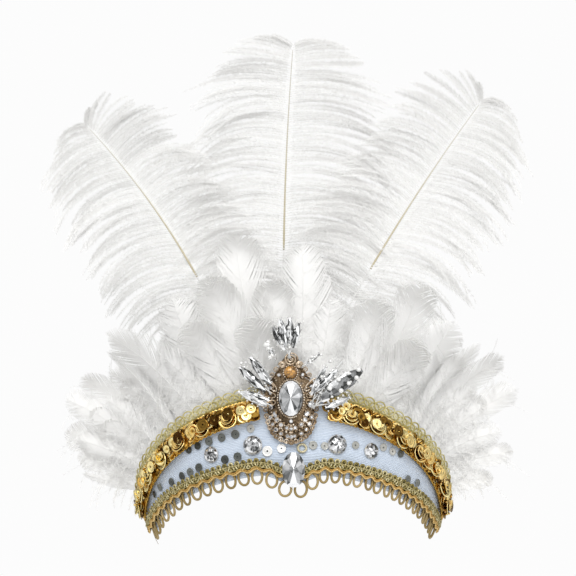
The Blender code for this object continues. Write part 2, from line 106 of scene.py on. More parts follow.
# Brooch and stones
BROOCH_HALF_WIDTH = 14.3
BROOCH_HALF_HEIGHT = 25.0
BROOCH_RISE = 36.5
BROOCH_THICKNESS = 4.0
BROOCH_SIDE_GAP = 1.5
BROOCH_SHIFT = -1.2
STONE_HALF_WIDTH = 6.7
STONE_HALF_HEIGHT = 10.0
STONE_DEPTH = 4.6
AMBER_RADIUS = 3.6
JEWEL_HALF_WIDTH = 6.4
JEWEL_HALF_HEIGHT = 10.0
CRYSTAL_RADIUS = 4.7
SEQUIN_RADIUS = 2.5
EYELET_RADIUS = 2.2
EYELET_WIRE = 0.55
SPRAY_LENGTH = 22.0
SPRAY_DEPTH = 2.2
CRYSTAL_SETTING = 1.13
KNOT_SIZE = 0.5
SEQUIN_LIFT = 0.25
BARBULE_HALF_WIDTH = 0.12

# The fan of feathers
FAN_HALF_WIDTH = 140.0
FAN_HEIGHT = 250.0
FAN_BOW = 12.0
FAN_LOW = 35.0
FAN_HIGH = 115.0
NOD_START = 150.0
NOD_FALL = 25.0
FEATHER_HALF_WIDTH = 15.0
FEATHER_THICKNESS = 1.5
LAYER_PITCH = 2.5
BODY_LAYERS = 6
PLUME_THICKNESS = 7.0
PLUME_PITCH = 8.5
PLUME_HALF_WIDTH = 56.0
ROOT_SHARE = 0.3
ROOT_DEPTH = 8.0
SPREAD_HEIGHT = 40.0

# The fan seen from above: share of the head's half width, share of its half length
FAN_PLAN = (
    (0.00, 0.000),
    (0.16, 0.013),
    (0.32, 0.048),
    (0.60, 0.180),
    (0.82, 0.375),
    (0.98, 0.610),
    (1.10, 0.830),
    (1.29, 0.930),
    (1.84, 0.980),
)

# Feather outlines: share of the length from the root, share of the half width
ROUND_OUTLINE = (
    (0.00, 0.10),
    (0.15, 0.45),
    (0.40, 0.88),
    (0.65, 1.00),
    (0.85, 0.88),
    (0.95, 0.60),
    (1.00, 0.00),
)
POINTED_OUTLINE = (
    (0.00, 0.12),
    (0.20, 0.55),
    (0.45, 1.00),
    (0.70, 0.85),
    (0.88, 0.50),
    (0.96, 0.26),
    (1.00, 0.00),
)
PLUME_OUTLINE = (
    (0.00, 0.45),
    (0.20, 0.65),
    (0.34, 0.90),
    (0.50, 1.00),
    (0.68, 0.98),
    (0.86, 0.86),
    (0.94, 0.72),
    (0.98, 0.48),
    (1.00, 0.17),
)

# name, root along the band, tip across, tip up, bend, half width, outline, layer,
# radius of the rolled tip (forward is positive) and how far it turns in radians
BODY_FEATHERS = (
    ("feather_centre_left", -0.07, -0.240, 0.545, 0.06, 1.00, ROUND_OUTLINE, 4, 14.0, 1.5),
    ("feather_centre", 0.02, 0.035, 0.525, -0.03, 1.05, ROUND_OUTLINE, 5, -16.0, 1.1),
    ("feather_left_high", -0.16, -0.350, 0.430, -0.12, 0.95, ROUND_OUTLINE, 1, 17.0, 1.9),
    ("feather_left_wide", -0.24, -0.500, 0.400, 0.08, 1.10, ROUND_OUTLINE, 3, -18.0, 1.1),
    ("feather_left_long", -0.36, -0.800, 0.316, -0.10, 1.10, POINTED_OUTLINE, 2, -14.0, 1.0),
    ("feather_left_thin", -0.50, -0.786, 0.272, -0.08, 0.30, POINTED_OUTLINE, 0, 7.0, 1.1),
    ("feather_left_curl_high", -0.58, -0.900, 0.208, -0.08, 0.55, ROUND_OUTLINE, 1, 11.0, 1.2),
    ("feather_left_curl_middle", -0.68, -0.980, 0.157, -0.10, 0.60, ROUND_OUTLINE, 0, -12.0, 1.1),
    ("feather_left_curl_low", -0.74, -0.970, 0.076, -0.08, 0.65, ROUND_OUTLINE, 2, 11.0, 1.2),
    ("feather_left_wisp", -0.80, -0.900, -0.020, 0.10, 0.25, POINTED_OUTLINE, 1, -5.0, 1.0),
    ("feather_right_high", 0.18, 0.520, 0.430, -0.14, 0.95, ROUND_OUTLINE, 1, 16.0, 1.9),
    ("feather_right_wide", 0.28, 0.680, 0.348, -0.10, 1.10, ROUND_OUTLINE, 3, -18.0, 1.1),
    ("feather_right_pale", 0.42, 0.786, 0.294, -0.08, 0.60, POINTED_OUTLINE, 2, -10.0, 1.0),
    ("feather_right_curl_high", 0.55, 0.886, 0.255, 0.10, 0.55, ROUND_OUTLINE, 1, 10.0, 1.2),
    ("feather_right_curl_middle", 0.66, 0.964, 0.180, 0.12, 0.60, ROUND_OUTLINE, 0, -12.0, 1.1),
    ("feather_right_low", 0.74, 0.936, 0.030, 0.06, 0.45, ROUND_OUTLINE, 2, 9.0, 1.2),
)

# name, root along the band, tip across, tip up, bend, left half width, right half width, layer,
# then the left and right barbs' leaving angles from the quill and end headings from upright,
# and how far the last barbs stand up at the tip
PLUMES = (
    ("plume_left", -0.15, -0.862, 0.796, -0.115, 0.94, 0.80, 0, 60.0, 82.0, -158.0, 108.0, 0.65),
    ("plume_right", 0.00, 0.786, 0.854, 0.045, 0.86, 0.98, 1, 82.0, 60.0, -108.0, 158.0, 0.6),
    ("plume_centre", -0.03, -0.001, 0.977, 0.03, 1.06, 1.08, 2, 80.0, 80.0, -142.0, 142.0, 0.3),
)

# Half of the brooch's outline: share of its half height from its middle, share of its half width
BROOCH_OUTLINE = (
    (-1.00, 0.00),
    (-0.94, 0.36),
    (-0.78, 0.70),
    (-0.45, 0.94),
    (-0.05, 1.00),
    (0.32, 0.95),
    (0.58, 0.66),
    (0.80, 0.40),
    (0.95, 0.28),
    (1.00, 0.00),
)

# name, foot across and up in shares of the brooch's half sizes, heading in degrees from upright,
# length and half width in shares of the spray length, level
SPRAYS = (
    ("spray_top", -0.05, 0.95, -9.0, 0.95, 0.36, 0),
    ("spray_left", -0.85, 0.15, -36.0, 1.05, 0.20, 0),
    ("spray_left_low", -0.85, -0.15, -60.0, 0.95, 0.16, 1),
    ("spray_right_thin", 0.53, 0.72, 52.0, 0.62, 0.09, 0),
    ("spray_right_inner", 0.88, -0.04, 27.0, 1.08, 0.20, 0),
    ("spray_right_outer", 0.95, -0.18, 49.0, 1.45, 0.29, 1),
    ("bead_cluster", -0.64, 0.90, -28.0, 0.40, 0.16, 1),
)

# name, share of the half arc, share of the height from braid to trim, share of the crystal radius
CRYSTALS = (
    ("crystal_left_inner", -0.173, 0.40, 1.00),
    ("crystal_left_outer", -0.368, 0.47, 0.85),
    ("crystal_right_inner", 0.185, 0.44, 1.00),
    ("crystal_right_outer", 0.343, 0.53, 0.82),
)

# share of the half arc, share of the height from braid to trim, share of the sequin radius, and
# the tone, which is drawn at random for the grey ones
WHITE_SEQUINS = (
    (-0.173, 0.86, 0.95, 0.15),
    (-0.112, 0.24, 1.20, 0.85),
    (-0.051, 0.37, 1.05, 0.85),
    (0.082, 0.41, 1.00, 0.06),
    (0.132, 0.36, 0.90, 0.10),
    (0.265, 0.54, 0.90, 0.0),
    (0.395, 0.80, 0.90, 0.12),
    (0.445, 0.83, 0.90, 0.20),
)
GREY_SEQUINS = (
    (-0.240, 0.81, 1.00),
    (-0.302, 0.85, 0.95),
    (-0.363, 0.90, 0.95),
    (-0.421, 0.95, 0.90),
    (-0.246, 0.18, 0.95),
    (-0.307, 0.19, 0.95),
    (-0.445, 0.23, 0.95),
    (-0.499, 0.23, 0.90),
    (-0.552, 0.26, 0.90),
    (-0.630, 0.33, 0.90),
)
END_SEQUINS = (
    (-0.725, 0.65, 0.85),
    (-0.793, 0.78, 0.80),
    (0.647, 0.37, 0.85),
    (0.578, 0.22, 0.85),
    (0.490, 0.93, 0.85),
    (-0.471, 1.00, 0.85),
)

END_RISE = (BRAID_WIDTH + TRIM_WIDTH) / 2.0 + CLEARANCE
FACE_OFF = BAND_WALL + CLEARANCE
BRAID_OFF = FACE_OFF + LOOP_THICKNESS + CLEARANCE
TRIM_OFF = FACE_OFF + LACE_THICKNESS + CLEARANCE
JEWEL_OFF = BRAID_OFF + BRAID_THICKNESS + CLEARANCE
STONE_OFF = FACE_OFF + BROOCH_THICKNESS + CLEARANCE
SPRAY_OFF = TRIM_OFF + TRIM_THICKNESS + CLEARANCE
FRONT_LEAN = math.tan(BAND_TILT - BAND_FLARE)


def unit(vectors):
    """Vectors scaled to a length of one."""
    vectors = np.asarray(vectors, float)
    return vectors / np.maximum(np.linalg.norm(vectors, axis=-1, keepdims=True), 1e-9)


def smooth_step(value):
    """Ease from 0 to 1."""
    value = np.clip(value, 0.0, 1.0)
    return value * value * (3.0 - 2.0 * value)


def read_curve(rows, place):
    """Values at places on a smooth curve through rows of (place, value)."""
    stops, values = np.array(rows, float).T
    count = len(stops)
    place = np.clip(place, stops[0], stops[-1])
    index = np.clip(np.searchsorted(stops, place) - 1, 0, count - 2)
    low = np.maximum(np.arange(count) - 1, 0)
    high = np.minimum(np.arange(count) + 1, count - 1)
    slopes = (values[high] - values[low]) / (stops[high] - stops[low])
    span = stops[index + 1] - stops[index]
    share = (place - stops[index]) / span
    ease = smooth_step(share)
    leave = share * (1.0 - share) ** 2 * span * slopes[index]
    arrive = share * share * (share - 1.0) * span * slopes[index + 1]
    return values[index] * (1.0 - ease) + values[index + 1] * ease + leave + arrive


def tilted_points(angle, rise, off):
    """Points by angle round the head, rise up the slope and height off the inner face."""
    side = HEAD_HALF_WIDTH * np.sin(angle)
    back = HEAD_HALF_LENGTH * (1.0 - np.cos(angle))
    out_side = HEAD_HALF_LENGTH * np.sin(angle)
    out_back = -HEAD_HALF_WIDTH * np.cos(angle)
    size = np.hypot(out_side, out_back)
    outward = rise * math.sin(BAND_FLARE) + off * math.cos(BAND_FLARE)
    upward = rise * math.cos(BAND_FLARE) - off * math.sin(BAND_FLARE)
    side = side + outward * out_side / size
    back = back + outward * out_back / size
    depth = back * math.cos(BAND_TILT) + upward * math.sin(BAND_TILT)
    height = upward * math.cos(BAND_TILT) - back * math.sin(BAND_TILT)
    return np.stack([side, depth, height], axis=-1)


ORIGIN = tilted_points(0.0, -PEAK_DROP, 0.0)
ARC_ANGLES = np.linspace(0.0, BAND_REACH, 241)
ARC_MIDDLES = (ARC_ANGLES[1:] + ARC_ANGLES[:-1]) / 2.0
ARC_SPEEDS = np.hypot(HEAD_HALF_WIDTH * np.cos(ARC_MIDDLES), HEAD_HALF_LENGTH * np.sin(ARC_MIDDLES))
ARC_LENGTHS = np.concatenate(([0.0], np.cumsum(ARC_SPEEDS * np.diff(ARC_ANGLES))))
HALF_ARC = ARC_LENGTHS[-1]


def on_band(along, rise, off):
    """World places, in millimetres, of points given on the band's slope."""
    along, rise, off = np.broadcast_arrays(*(np.asarray(v, float) for v in (along, rise, off)))
    angle = np.sign(along) * np.interp(np.abs(along), ARC_LENGTHS, ARC_ANGLES)
    return tilted_points(angle, rise, off) - ORIGIN


def axes_at(along, rise, off):
    """Places on the band with their axes: along it, up its slope and out of it."""
    step = 0.5
    along = np.atleast_1d(np.asarray(along, float))
    place = on_band(along, rise, off)
    right = unit(on_band(along + step, rise, off) - on_band(along - step, rise, off))
    above, below = (on_band(along, np.asarray(rise) + way * step, off) for way in (1.0, -1.0))
    up = unit(above - below)
    return place, right, up, unit(np.cross(right, up))


def girth(rise, off):
    """How much wider the flared band is at that height than on the head curve, at the front."""
    radius = HEAD_HALF_WIDTH ** 2 / HEAD_HALF_LENGTH
    return 1.0 + (rise * math.sin(BAND_FLARE) + off * math.cos(BAND_FLARE)) / radius


def peak(along):
    """Rise of the lower braid: level, with a dip to a point at the front."""
    share = np.minimum(1.0, np.abs(along) / PEAK_HALF_WIDTH)
    return -PEAK_DROP * np.cos(math.pi / 2.0 * share) ** 2


TRIM_START = (BROOCH_HALF_WIDTH + abs(BROOCH_SHIFT) + BROOCH_SIDE_GAP) / girth(END_RISE, 0.0)
SIDES = (("left", -1.0), ("right", 1.0))


def trim_rise(along):
    """Rise of the sequin trim's middle line."""
    share = np.minimum(1.0, np.abs(along) / HALF_ARC)
    return END_RISE + (FRONT_RISE - END_RISE) * (1.0 - share ** RISE_CURVE)


def top_rise(along):
    """Rise of the band's upper edge."""
    return trim_rise(along) + TOP_HEM


def field_rise(along, share):
    """Rise of a place on the bare satin, by its share of the height from the braid to the trim."""
    low = peak(along) + BRAID_WIDTH / 2.0
    high = trim_rise(along) - TRIM_WIDTH / 2.0
    return low + (high - low) * share


def fan_depth(across, height):
    """Depth of the fan's front at a place seen from the front."""
    low = HEAD_HALF_LENGTH * read_curve(FAN_PLAN, np.abs(across) / HEAD_HALF_WIDTH)
    high = FAN_BOW * (across / HEAD_HALF_WIDTH) ** 2
    lifted = smooth_step((height - FAN_LOW) / (FAN_HIGH - FAN_LOW))
    nod = np.maximum(0.0, height - NOD_START) / (FAN_HEIGHT - NOD_START)
    lean = FRONT_LEAN * np.minimum(height, FAN_HEIGHT) - NOD_FALL * nod * nod
    return low * (1.0 - lifted) + high * lifted + lean + CLEARANCE * 2.0


def fullness(across, height):
    """How far the layers have spread: small at the roots, whole above the band."""
    top = top_rise(0.0) + PEAK_DROP
    crest = top - top * (across / HEAD_HALF_WIDTH) ** 2
    return ROOT_SHARE + (1.0 - ROOT_SHARE) * smooth_step((height - crest) / SPREAD_HEIGHT)


def quill_line(root, tip, bend, share):
    """Places and headings on a quill, seen from the front."""
    root, tip = np.asarray(root, float), np.asarray(tip, float)
    run, climb = tip - root
    bow = root + np.array([run / 2.0 - climb * bend, climb / 2.0 + run * bend])
    share = np.asarray(share, float)[..., None]
    rest = 1.0 - share
    middle = rest * rest * root + 2.0 * rest * share * bow + share * share * tip
    return middle, unit(rest * (bow - root) + share * (tip - bow))


class Shape:
    """Points and faces of one piece, gathered in millimetres with a tone for each face."""

    def __init__(self):
        self.points, self.corners, self.sizes = [], [], []
        self.tones, self.finishes, self.smooth = [], [], []
        self.count = 0

    def add(self, points, faces, tone=0.5, finish=0, smooth=True):
        """New points, and faces as rows of their numbers."""
        points = np.asarray(points, float).reshape(-1, 3)
        base = self.count
        self.points.append(points)
        self.count += len(points)
        self.cover(np.asarray(faces, int) + base, tone, finish, smooth)
        return base

    def cover(self, faces, tone=0.5, finish=0, smooth=True):
        """Faces on points that are already there."""
        number = len(faces)
        self.corners.append(faces.ravel())
        self.sizes.append(np.full(number, faces.shape[1]))
        self.tones.append(np.array(np.broadcast_to(tone, number), float))
        self.finishes.append(np.full(number, finish))
        self.smooth.append(np.full(number, smooth))

    def build(self, name, finishes, nodes=()):
        """The finished piece, riding on the frame in place of its nodes."""
        sizes = np.concatenate(self.sizes)
        corners = np.concatenate(self.corners).astype(np.int32)
        points = (np.concatenate(self.points) * MM).astype(np.float32)
        mesh = bpy.data.meshes.new(name)
        for finish in finishes:
            mesh.materials.append(finish_of(finish))
        mesh.vertices.add(len(points))
        mesh.vertices.foreach_set("co", points.ravel())
        mesh.loops.add(len(corners))
        mesh.loops.foreach_set("vertex_index", corners)
        mesh.polygons.add(len(sizes))
        mesh.polygons.foreach_set("loop_start", (np.cumsum(sizes) - sizes).astype(np.int32))
        mesh.polygons.foreach_set("material_index", np.concatenate(self.finishes).astype(np.int32))
        mesh.polygons.foreach_set("use_smooth", np.concatenate(self.smooth))
        mesh.attributes.new("tone", "FLOAT", "FACE")
        tones = np.concatenate(self.tones).astype(np.float32)
        mesh.attributes["tone"].data.foreach_set("value", tones)
        mesh.update(calc_edges=True)
        piece = bpy.data.objects.new(name, mesh)
        bpy.context.scene.collection.objects.link(piece)
        if nodes:
            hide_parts(*nodes)
        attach(piece, BODY)
        return piece


def grid_faces(rows, columns, wrap_rows=False, wrap_columns=True):
    """Four-sided faces between the points of a grid."""
    row_count = rows if wrap_rows else rows - 1
    column_count = columns if wrap_columns else columns - 1
    row, column = np.meshgrid(np.arange(row_count), np.arange(column_count), indexing="ij")
    here, ahead, beside = row * columns, (row + 1) % rows * columns, (column + 1) % columns
    quads = (here + column, ahead + column, ahead + beside, here + beside)
    return np.stack(quads, axis=-1).reshape(-1, 4)


def loft(shape, rings, closed=False, tone=0.5, finish=0, smooth=True):
    """A skin through rings of points, with flat ends unless it closes on itself."""
    rings = np.asarray(rings, float)
    rows, columns = rings.shape[:2]
    faces = grid_faces(rows, columns, wrap_rows=closed)
    if np.ndim(tone):
        tone = np.repeat(tone, columns)[:len(faces)]
    base = shape.add(rings, faces, tone, finish, smooth)
    if not closed:
        ends = np.array([np.arange(columns), (rows - 1) * columns + np.arange(columns)[::-1]])
        shape.cover(ends + base, 0.5, finish, False)


def tube(shape, path, radius, reference, sides=6, closed=False, tone=0.5, finish=0):
    """A round cord along a path. The reference points away from the surface that it lies on."""
    path = np.asarray(path, float)
    if closed:
        tangent = np.roll(path, -1, axis=0) - np.roll(path, 1, axis=0)
    else:
        tangent = np.gradient(path, axis=0)
    side = unit(np.cross(tangent, reference))
    lift = unit(np.cross(side, tangent))
    turns = (np.arange(sides) * math.tau / sides)[:, None]
    radius = np.broadcast_to(radius, len(path))[:, None, None]
    rings = path[:, None] + radius * (np.cos(turns) * side[:, None] + np.sin(turns) * lift[:, None])
    loft(shape, rings, closed, tone, finish)


def band_tube(shape, along, rise, off, radius, sides=5, closed=False, tone=0.5, finish=0):
    """A cord whose path is given on the band."""
    place, _, _, out = axes_at(along, rise, off)
    tube(shape, place, radius, out, sides, closed, tone, finish)


def stamp(shape, form, places, sizes=1.0, tones=0.5, finish=0, smooth=True):
    """Copies of a small form, one at each of the places with axes."""
    points, faces = form
    origin, right, up, out = places
    count = len(origin)
    sizes = np.broadcast_to(sizes, count)[:, None, None]
    local = points[None] * sizes
    world = origin[:, None] + local[..., :1] * right[:, None]
    world = world + local[..., 1:2] * up[:, None] + local[..., 2:] * out[:, None]
    numbers = faces[None] + len(points) * np.arange(count)[:, None, None]
    tones = np.asarray(tones, float)
    if tones.ndim < 2:
        tones = np.broadcast_to(tones, count)[:, None]
    tones = np.broadcast_to(tones, (count, len(faces)))
    shape.add(world, numbers.reshape(-1, faces.shape[1]), tones.ravel(), finish, smooth)


def turned_form(profile, sides):
    """A ring turned from a closed profile of (radius, height), hole to rim and back beneath."""
    turns = np.arange(sides) * math.tau / sides
    radius, height = np.array(profile, float).T
    points = np.stack([
        radius[:, None] * np.cos(turns),
        radius[:, None] * np.sin(turns),
        np.broadcast_to(height[:, None], (len(profile), sides)),
    ], axis=-1)
    return points.reshape(-1, 3), grid_faces(len(profile), sides, wrap_rows=True)


def ball_form(subdivisions):
    """A small ball of radius one."""
    made = bmesh.new()
    bmesh.ops.create_icosphere(made, subdivisions=subdivisions, radius=1.0)
    points = np.array([tuple(v.co) for v in made.verts])
    faces = np.array([[v.index for v in face.verts] for face in made.faces])
    made.free()
    return points, faces


def cut_form(levels, sides, half_width=1.0, half_height=1.0, point=0.0):
    """A faceted stone through levels of (share, height), each turned half a facet from the last."""
    rings = []
    for level, (share, height) in enumerate(levels):
        turns = (np.arange(sides) + 0.5 * (level % 2)) * math.tau / sides
        taper = 1.0 - point * np.cos(turns) ** 2
        rings.append(np.stack([
            half_width * share * np.sin(turns) * taper,
            half_height * share * np.cos(turns),
            np.full(sides, height),
        ], axis=-1))
    bottom = np.array([[0.0, 0.0, levels[0][1]]])
    top = np.array([[0.0, 0.0, levels[-1][1]]])
    points = np.concatenate(rings + [bottom, top])
    faces = []
    for level in range(len(levels) - 1):
        here, above = level * sides, (level + 1) * sides
        for side in range(sides):
            nearby = (side + 1) % sides
            if level % 2 == 0:
                faces.append((here + side, above + side, here + nearby))
                faces.append((here + nearby, above + side, above + nearby))
            else:
                faces.append((here + side, above + side, above + nearby))
                faces.append((here + side, above + nearby, here + nearby))
    last = (len(levels) - 1) * sides
    for side in range(sides):
        nearby = (side + 1) % sides
        faces.append((len(points) - 2, side, nearby))
        faces.append((len(points) - 1, last + nearby, last + side))
    return points, np.array(faces)


def painted_facet_reflections(form, random, half_width, half_height, upper, lower):
    """Painted reflections: bright kites above and below the stone's middle, grey and dark facets at
    its sides.
    """
    points, faces = form
    centre = points[faces].mean(axis=1)
    across, up = centre[:, 0] / half_width, centre[:, 1] / half_height
    width = np.where(up > 0.0, upper, lower)
    tones = random.choice((0.06, 0.2, 0.32, 0.42, 0.6), len(faces))
    # painted reflection: the kites are coloured bright, the other facets grey and dark
    lit_kite = np.abs(across) < width * np.abs(up) + 0.02
    tones[lit_kite] = random.uniform(0.86, 1.0, int(lit_kite.sum()))
    return tones


def node(tree, kind, inputs=None, **settings):
    """A shader node with its settings and its plain input values."""
    made = tree.nodes.new(kind)
    for key, value in settings.items():
        setattr(made, key, value)
    for key, value in (inputs or {}).items():
        made.inputs[key].default_value = value
    return made


def math_node(tree, operation, first, second, clamp=False):
    """A sum on two values, each a number or another node's output."""
    made = node(tree, "ShaderNodeMath", operation=operation, use_clamp=clamp)
    for place, value in enumerate((first, second)):
        if isinstance(value, (int, float)):
            made.inputs[place].default_value = value
        else:
            tree.links.new(value, made.inputs[place])
    return made.outputs[0]


def mixed(tree, factor, first, second):
    """A colour between two others."""
    made = node(tree, "ShaderNodeMix", data_type="RGBA")
    # the sockets of a Mix node's factor, first colour and second colour
    for place, value in ((0, factor), (6, first), (7, second)):
        if isinstance(value, bpy.types.NodeSocket):
            tree.links.new(value, made.inputs[place])
        else:
            made.inputs[place].default_value = value
    return made.outputs[2]


def new_group(name, inputs, outputs):
    """An empty shader node group with its sockets."""
    tree = bpy.data.node_groups.new(name, "ShaderNodeTree")
    for label, kind, default in inputs:
        socket = tree.interface.new_socket(label, in_out="INPUT", socket_type=kind)
        socket.default_value = default
    for label, kind in outputs:
        tree.interface.new_socket(label, in_out="OUTPUT", socket_type=kind)
    return tree, tree.nodes.new("NodeGroupInput"), tree.nodes.new("NodeGroupOutput")


def tone_group():
    """Colour from dark through middle to light, by each strand's tone and a soft mottle. On some
    pieces the tone holds painted highlights and painted shade as well as the strand's own colour.
    """
    grey = (0.5, 0.5, 0.5, 1.0)
    tree, given, made = new_group(
        "strand_tone",
        (
            ("Dark", "NodeSocketColor", grey),
            ("Middle", "NodeSocketColor", grey),
            ("Light", "NodeSocketColor", grey),
            ("Mottle", "NodeSocketFloat", 0.3),
            ("Mottle Scale", "NodeSocketFloat", 400.0),
        ),
        (("Color", "NodeSocketColor"), ("Tone", "NodeSocketFloat")),
    )
    tone = node(tree, "ShaderNodeAttribute", attribute_name="tone")
    place = node(tree, "ShaderNodeTexCoord")
    noise = node(tree, "ShaderNodeTexNoise", {"Detail": 3.0})
    tree.links.new(place.outputs["Object"], noise.inputs["Vector"])
    tree.links.new(given.outputs["Mottle Scale"], noise.inputs["Scale"])
    swing = math_node(tree, "SUBTRACT", noise.outputs[0], 0.5)
    swing = math_node(tree, "MULTIPLY", swing, given.outputs["Mottle"])
    level = math_node(tree, "ADD", tone.outputs["Fac"], swing, clamp=True)
    low = math_node(tree, "MULTIPLY", level, 2.0, clamp=True)
    high = math_node(tree, "SUBTRACT", math_node(tree, "MULTIPLY", level, 2.0), 1.0, clamp=True)
    lower = mixed(tree, low, given.outputs["Dark"], given.outputs["Middle"])
    tree.links.new(mixed(tree, high, lower, given.outputs["Light"]), made.inputs["Color"])
    tree.links.new(level, made.inputs["Tone"])
    return tree


def wear_group():
    """Roughness that varies over a surface, and a fine grain for its height."""
    tree, given, made = new_group(
        "surface_wear",
        (
            ("Smooth", "NodeSocketFloat", 0.2),
            ("Rough", "NodeSocketFloat", 0.4),
            ("Wear Scale", "NodeSocketFloat", 300.0),
            ("Grain Scale", "NodeSocketFloat", 2500.0),
        ),
        (("Roughness", "NodeSocketFloat"), ("Height", "NodeSocketFloat")),
    )
    place = node(tree, "ShaderNodeTexCoord")
    heights = []
    for label in ("Wear Scale", "Grain Scale"):
        noise = node(tree, "ShaderNodeTexNoise", {"Detail": 2.0})
        tree.links.new(place.outputs["Object"], noise.inputs["Vector"])
        tree.links.new(given.outputs[label], noise.inputs["Scale"])
        heights.append(noise.outputs[0])
    span = math_node(tree, "SUBTRACT", given.outputs["Rough"], given.outputs["Smooth"])
    rough = math_node(tree, "MULTIPLY", span, heights[0])
    rough = math_node(tree, "ADD", given.outputs["Smooth"], rough)
    tree.links.new(rough, made.inputs["Roughness"])
    tree.links.new(heights[1], made.inputs["Height"])
    return tree


def glint_group():
    """Painted glints: sharp light and dark cells in the colour, standing in for the reflections
    that the back facets of a foiled stone throw.
    """
    tree, given, made = new_group(
        "stone_glints",
        (
            ("Cell Scale", "NodeSocketFloat", 700.0),
            ("Contrast", "NodeSocketFloat", 1.0),
        ),
        (("Light", "NodeSocketFloat"),),
    )
    place = node(tree, "ShaderNodeTexCoord")
    cells = node(tree, "ShaderNodeTexVoronoi", feature="F1")
    tree.links.new(place.outputs["Object"], cells.inputs["Vector"])
    tree.links.new(given.outputs["Cell Scale"], cells.inputs["Scale"])
    split = node(tree, "ShaderNodeSeparateColor")
    tree.links.new(cells.outputs["Color"], split.inputs[0])
    swing = math_node(tree, "SUBTRACT", split.outputs[0], 0.5)
    swing = math_node(tree, "MULTIPLY", swing, given.outputs["Contrast"])
    tone = node(tree, "ShaderNodeAttribute", attribute_name="tone")
    level = math_node(tree, "ADD", tone.outputs["Fac"], swing, clamp=True)
    tree.links.new(level, made.inputs["Light"])
    return tree


def shared_group(maker):
    """A node group, made the first time it is asked for."""
    names = {tone_group: "strand_tone", wear_group: "surface_wear", glint_group: "stone_glints"}
    return bpy.data.node_groups.get(names[maker]) or maker()


def place_group(tree, maker, values):
    """A shared group placed in a material with its own values."""
    made = node(tree, "ShaderNodeGroup", node_tree=shared_group(maker))
    for key, value in values.items():
        made.inputs[key].default_value = value
    return made


def four(colour):
    """A colour with its alpha."""
    return (*colour[:3], 1.0)


def new_material(name):
    """An empty material with its node tree and its shader."""
    material = bpy.data.materials.new(name)
    material.use_nodes = True
    tree = material.node_tree
    return material, tree, tree.nodes["Principled BSDF"]


def strand_finish(
    name, dark, middle, light, smooth, rough, metallic, mottle, scale, bump=0.15, sheen=0.0
):
    """A material of threads, feathers or metal whose colour follows each strand's tone."""
    material, tree, shader = new_material(name)
    dark, middle, light = four(dark), four(middle), four(light)
    tone = place_group(tree, tone_group, {
        "Dark": dark, "Middle": middle, "Light": light, "Mottle": mottle, "Mottle Scale": scale,
    })
    wear = place_group(tree, wear_group, {"Smooth": smooth, "Rough": rough})
    tree.links.new(tone.outputs["Color"], shader.inputs["Base Color"])
    tree.links.new(wear.outputs["Roughness"], shader.inputs["Roughness"])
    shader.inputs["Metallic"].default_value = metallic
    if sheen:
        shader.inputs["Sheen Weight"].default_value = sheen
    if bump:
        relief = node(tree, "ShaderNodeBump", {"Strength": bump, "Distance": 0.0002})
        tree.links.new(wear.outputs["Height"], relief.inputs["Height"])
        tree.links.new(relief.outputs[0], shader.inputs["Normal"])
    material.diffuse_color = middle
    return material


def stone_finish(name, dark, light, roughness, metallic, cell, contrast, coat):
    """A foiled stone: facets between a dark and a light colour by painted glints, under a clear
    gloss.
    """
    material, tree, shader = new_material(name)
    glints = place_group(tree, glint_group, {"Cell Scale": cell, "Contrast": contrast})
    colour = mixed(tree, glints.outputs["Light"], four(dark), four(light))
    tree.links.new(colour, shader.inputs["Base Color"])
    shader.inputs["Roughness"].default_value = roughness
    shader.inputs["Metallic"].default_value = metallic
    shader.inputs["Coat Weight"].default_value = coat
    shader.inputs["Specular IOR Level"].default_value = 0.5 * coat
    shader.inputs["Coat Roughness"].default_value = 0.03
    material.diffuse_color = four(light)
    return material


def satin_finish(name, dark, light, pitch):
    """Pale ribbed satin: fine threads across the band's slope under a soft sheen, with painted
    shade in the troughs between the ribs.
    """
    material, tree, shader = new_material(name)
    place = node(tree, "ShaderNodeAttribute", attribute_name="cloth_place")
    split = node(tree, "ShaderNodeSeparateXYZ")
    tree.links.new(place.outputs["Vector"], split.inputs[0])
    slub = node(tree, "ShaderNodeTexNoise", {"Scale": 1.0, "Detail": 3.0})
    stretch = node(tree, "ShaderNodeVectorMath", operation="MULTIPLY")
    stretch.inputs[1].default_value = (0.12, 1.6, 1.0)
    tree.links.new(place.outputs["Vector"], stretch.inputs[0])
    tree.links.new(stretch.outputs[0], slub.inputs["Vector"])
    phase = math_node(tree, "MULTIPLY", split.outputs["Y"], math.tau / pitch)
    phase = math_node(tree, "ADD", phase, math_node(tree, "MULTIPLY", slub.outputs[0], 2.0))
    rib = math_node(tree, "MULTIPLY", math_node(tree, "SINE", phase, 0.0), 0.5)
    rib = math_node(tree, "ADD", rib, 0.5)
    cross = math_node(tree, "MULTIPLY", split.outputs["X"], math.tau / (pitch * 0.8))
    cross = math_node(tree, "SINE", cross, 0.0)
    height = math_node(tree, "ADD", rib, math_node(tree, "MULTIPLY", cross, 0.15))
    # painted shade: the colour darkens in the troughs between the ribs and lightens on their
    # crests, and the slub makes it uneven
    tone = math_node(tree, "MULTIPLY", rib, 0.45)
    uneven = math_node(tree, "MULTIPLY", slub.outputs[0], 0.8)
    tone = math_node(tree, "ADD", tone, uneven, clamp=True)
    tree.links.new(mixed(tree, tone, four(dark), four(light)), shader.inputs["Base Color"])
    rough = math_node(tree, "ADD", math_node(tree, "MULTIPLY", slub.outputs[0], 0.25), 0.35)
    tree.links.new(rough, shader.inputs["Roughness"])
    shader.inputs["Sheen Weight"].default_value = 0.35
    relief = node(tree, "ShaderNodeBump", {"Strength": 0.9, "Distance": 0.00025})
    tree.links.new(height, relief.inputs["Height"])
    tree.links.new(relief.outputs[0], shader.inputs["Normal"])
    material.diffuse_color = four(light)
    return material


def mm(length):
    """A length property in millimetres."""
    return length / MM


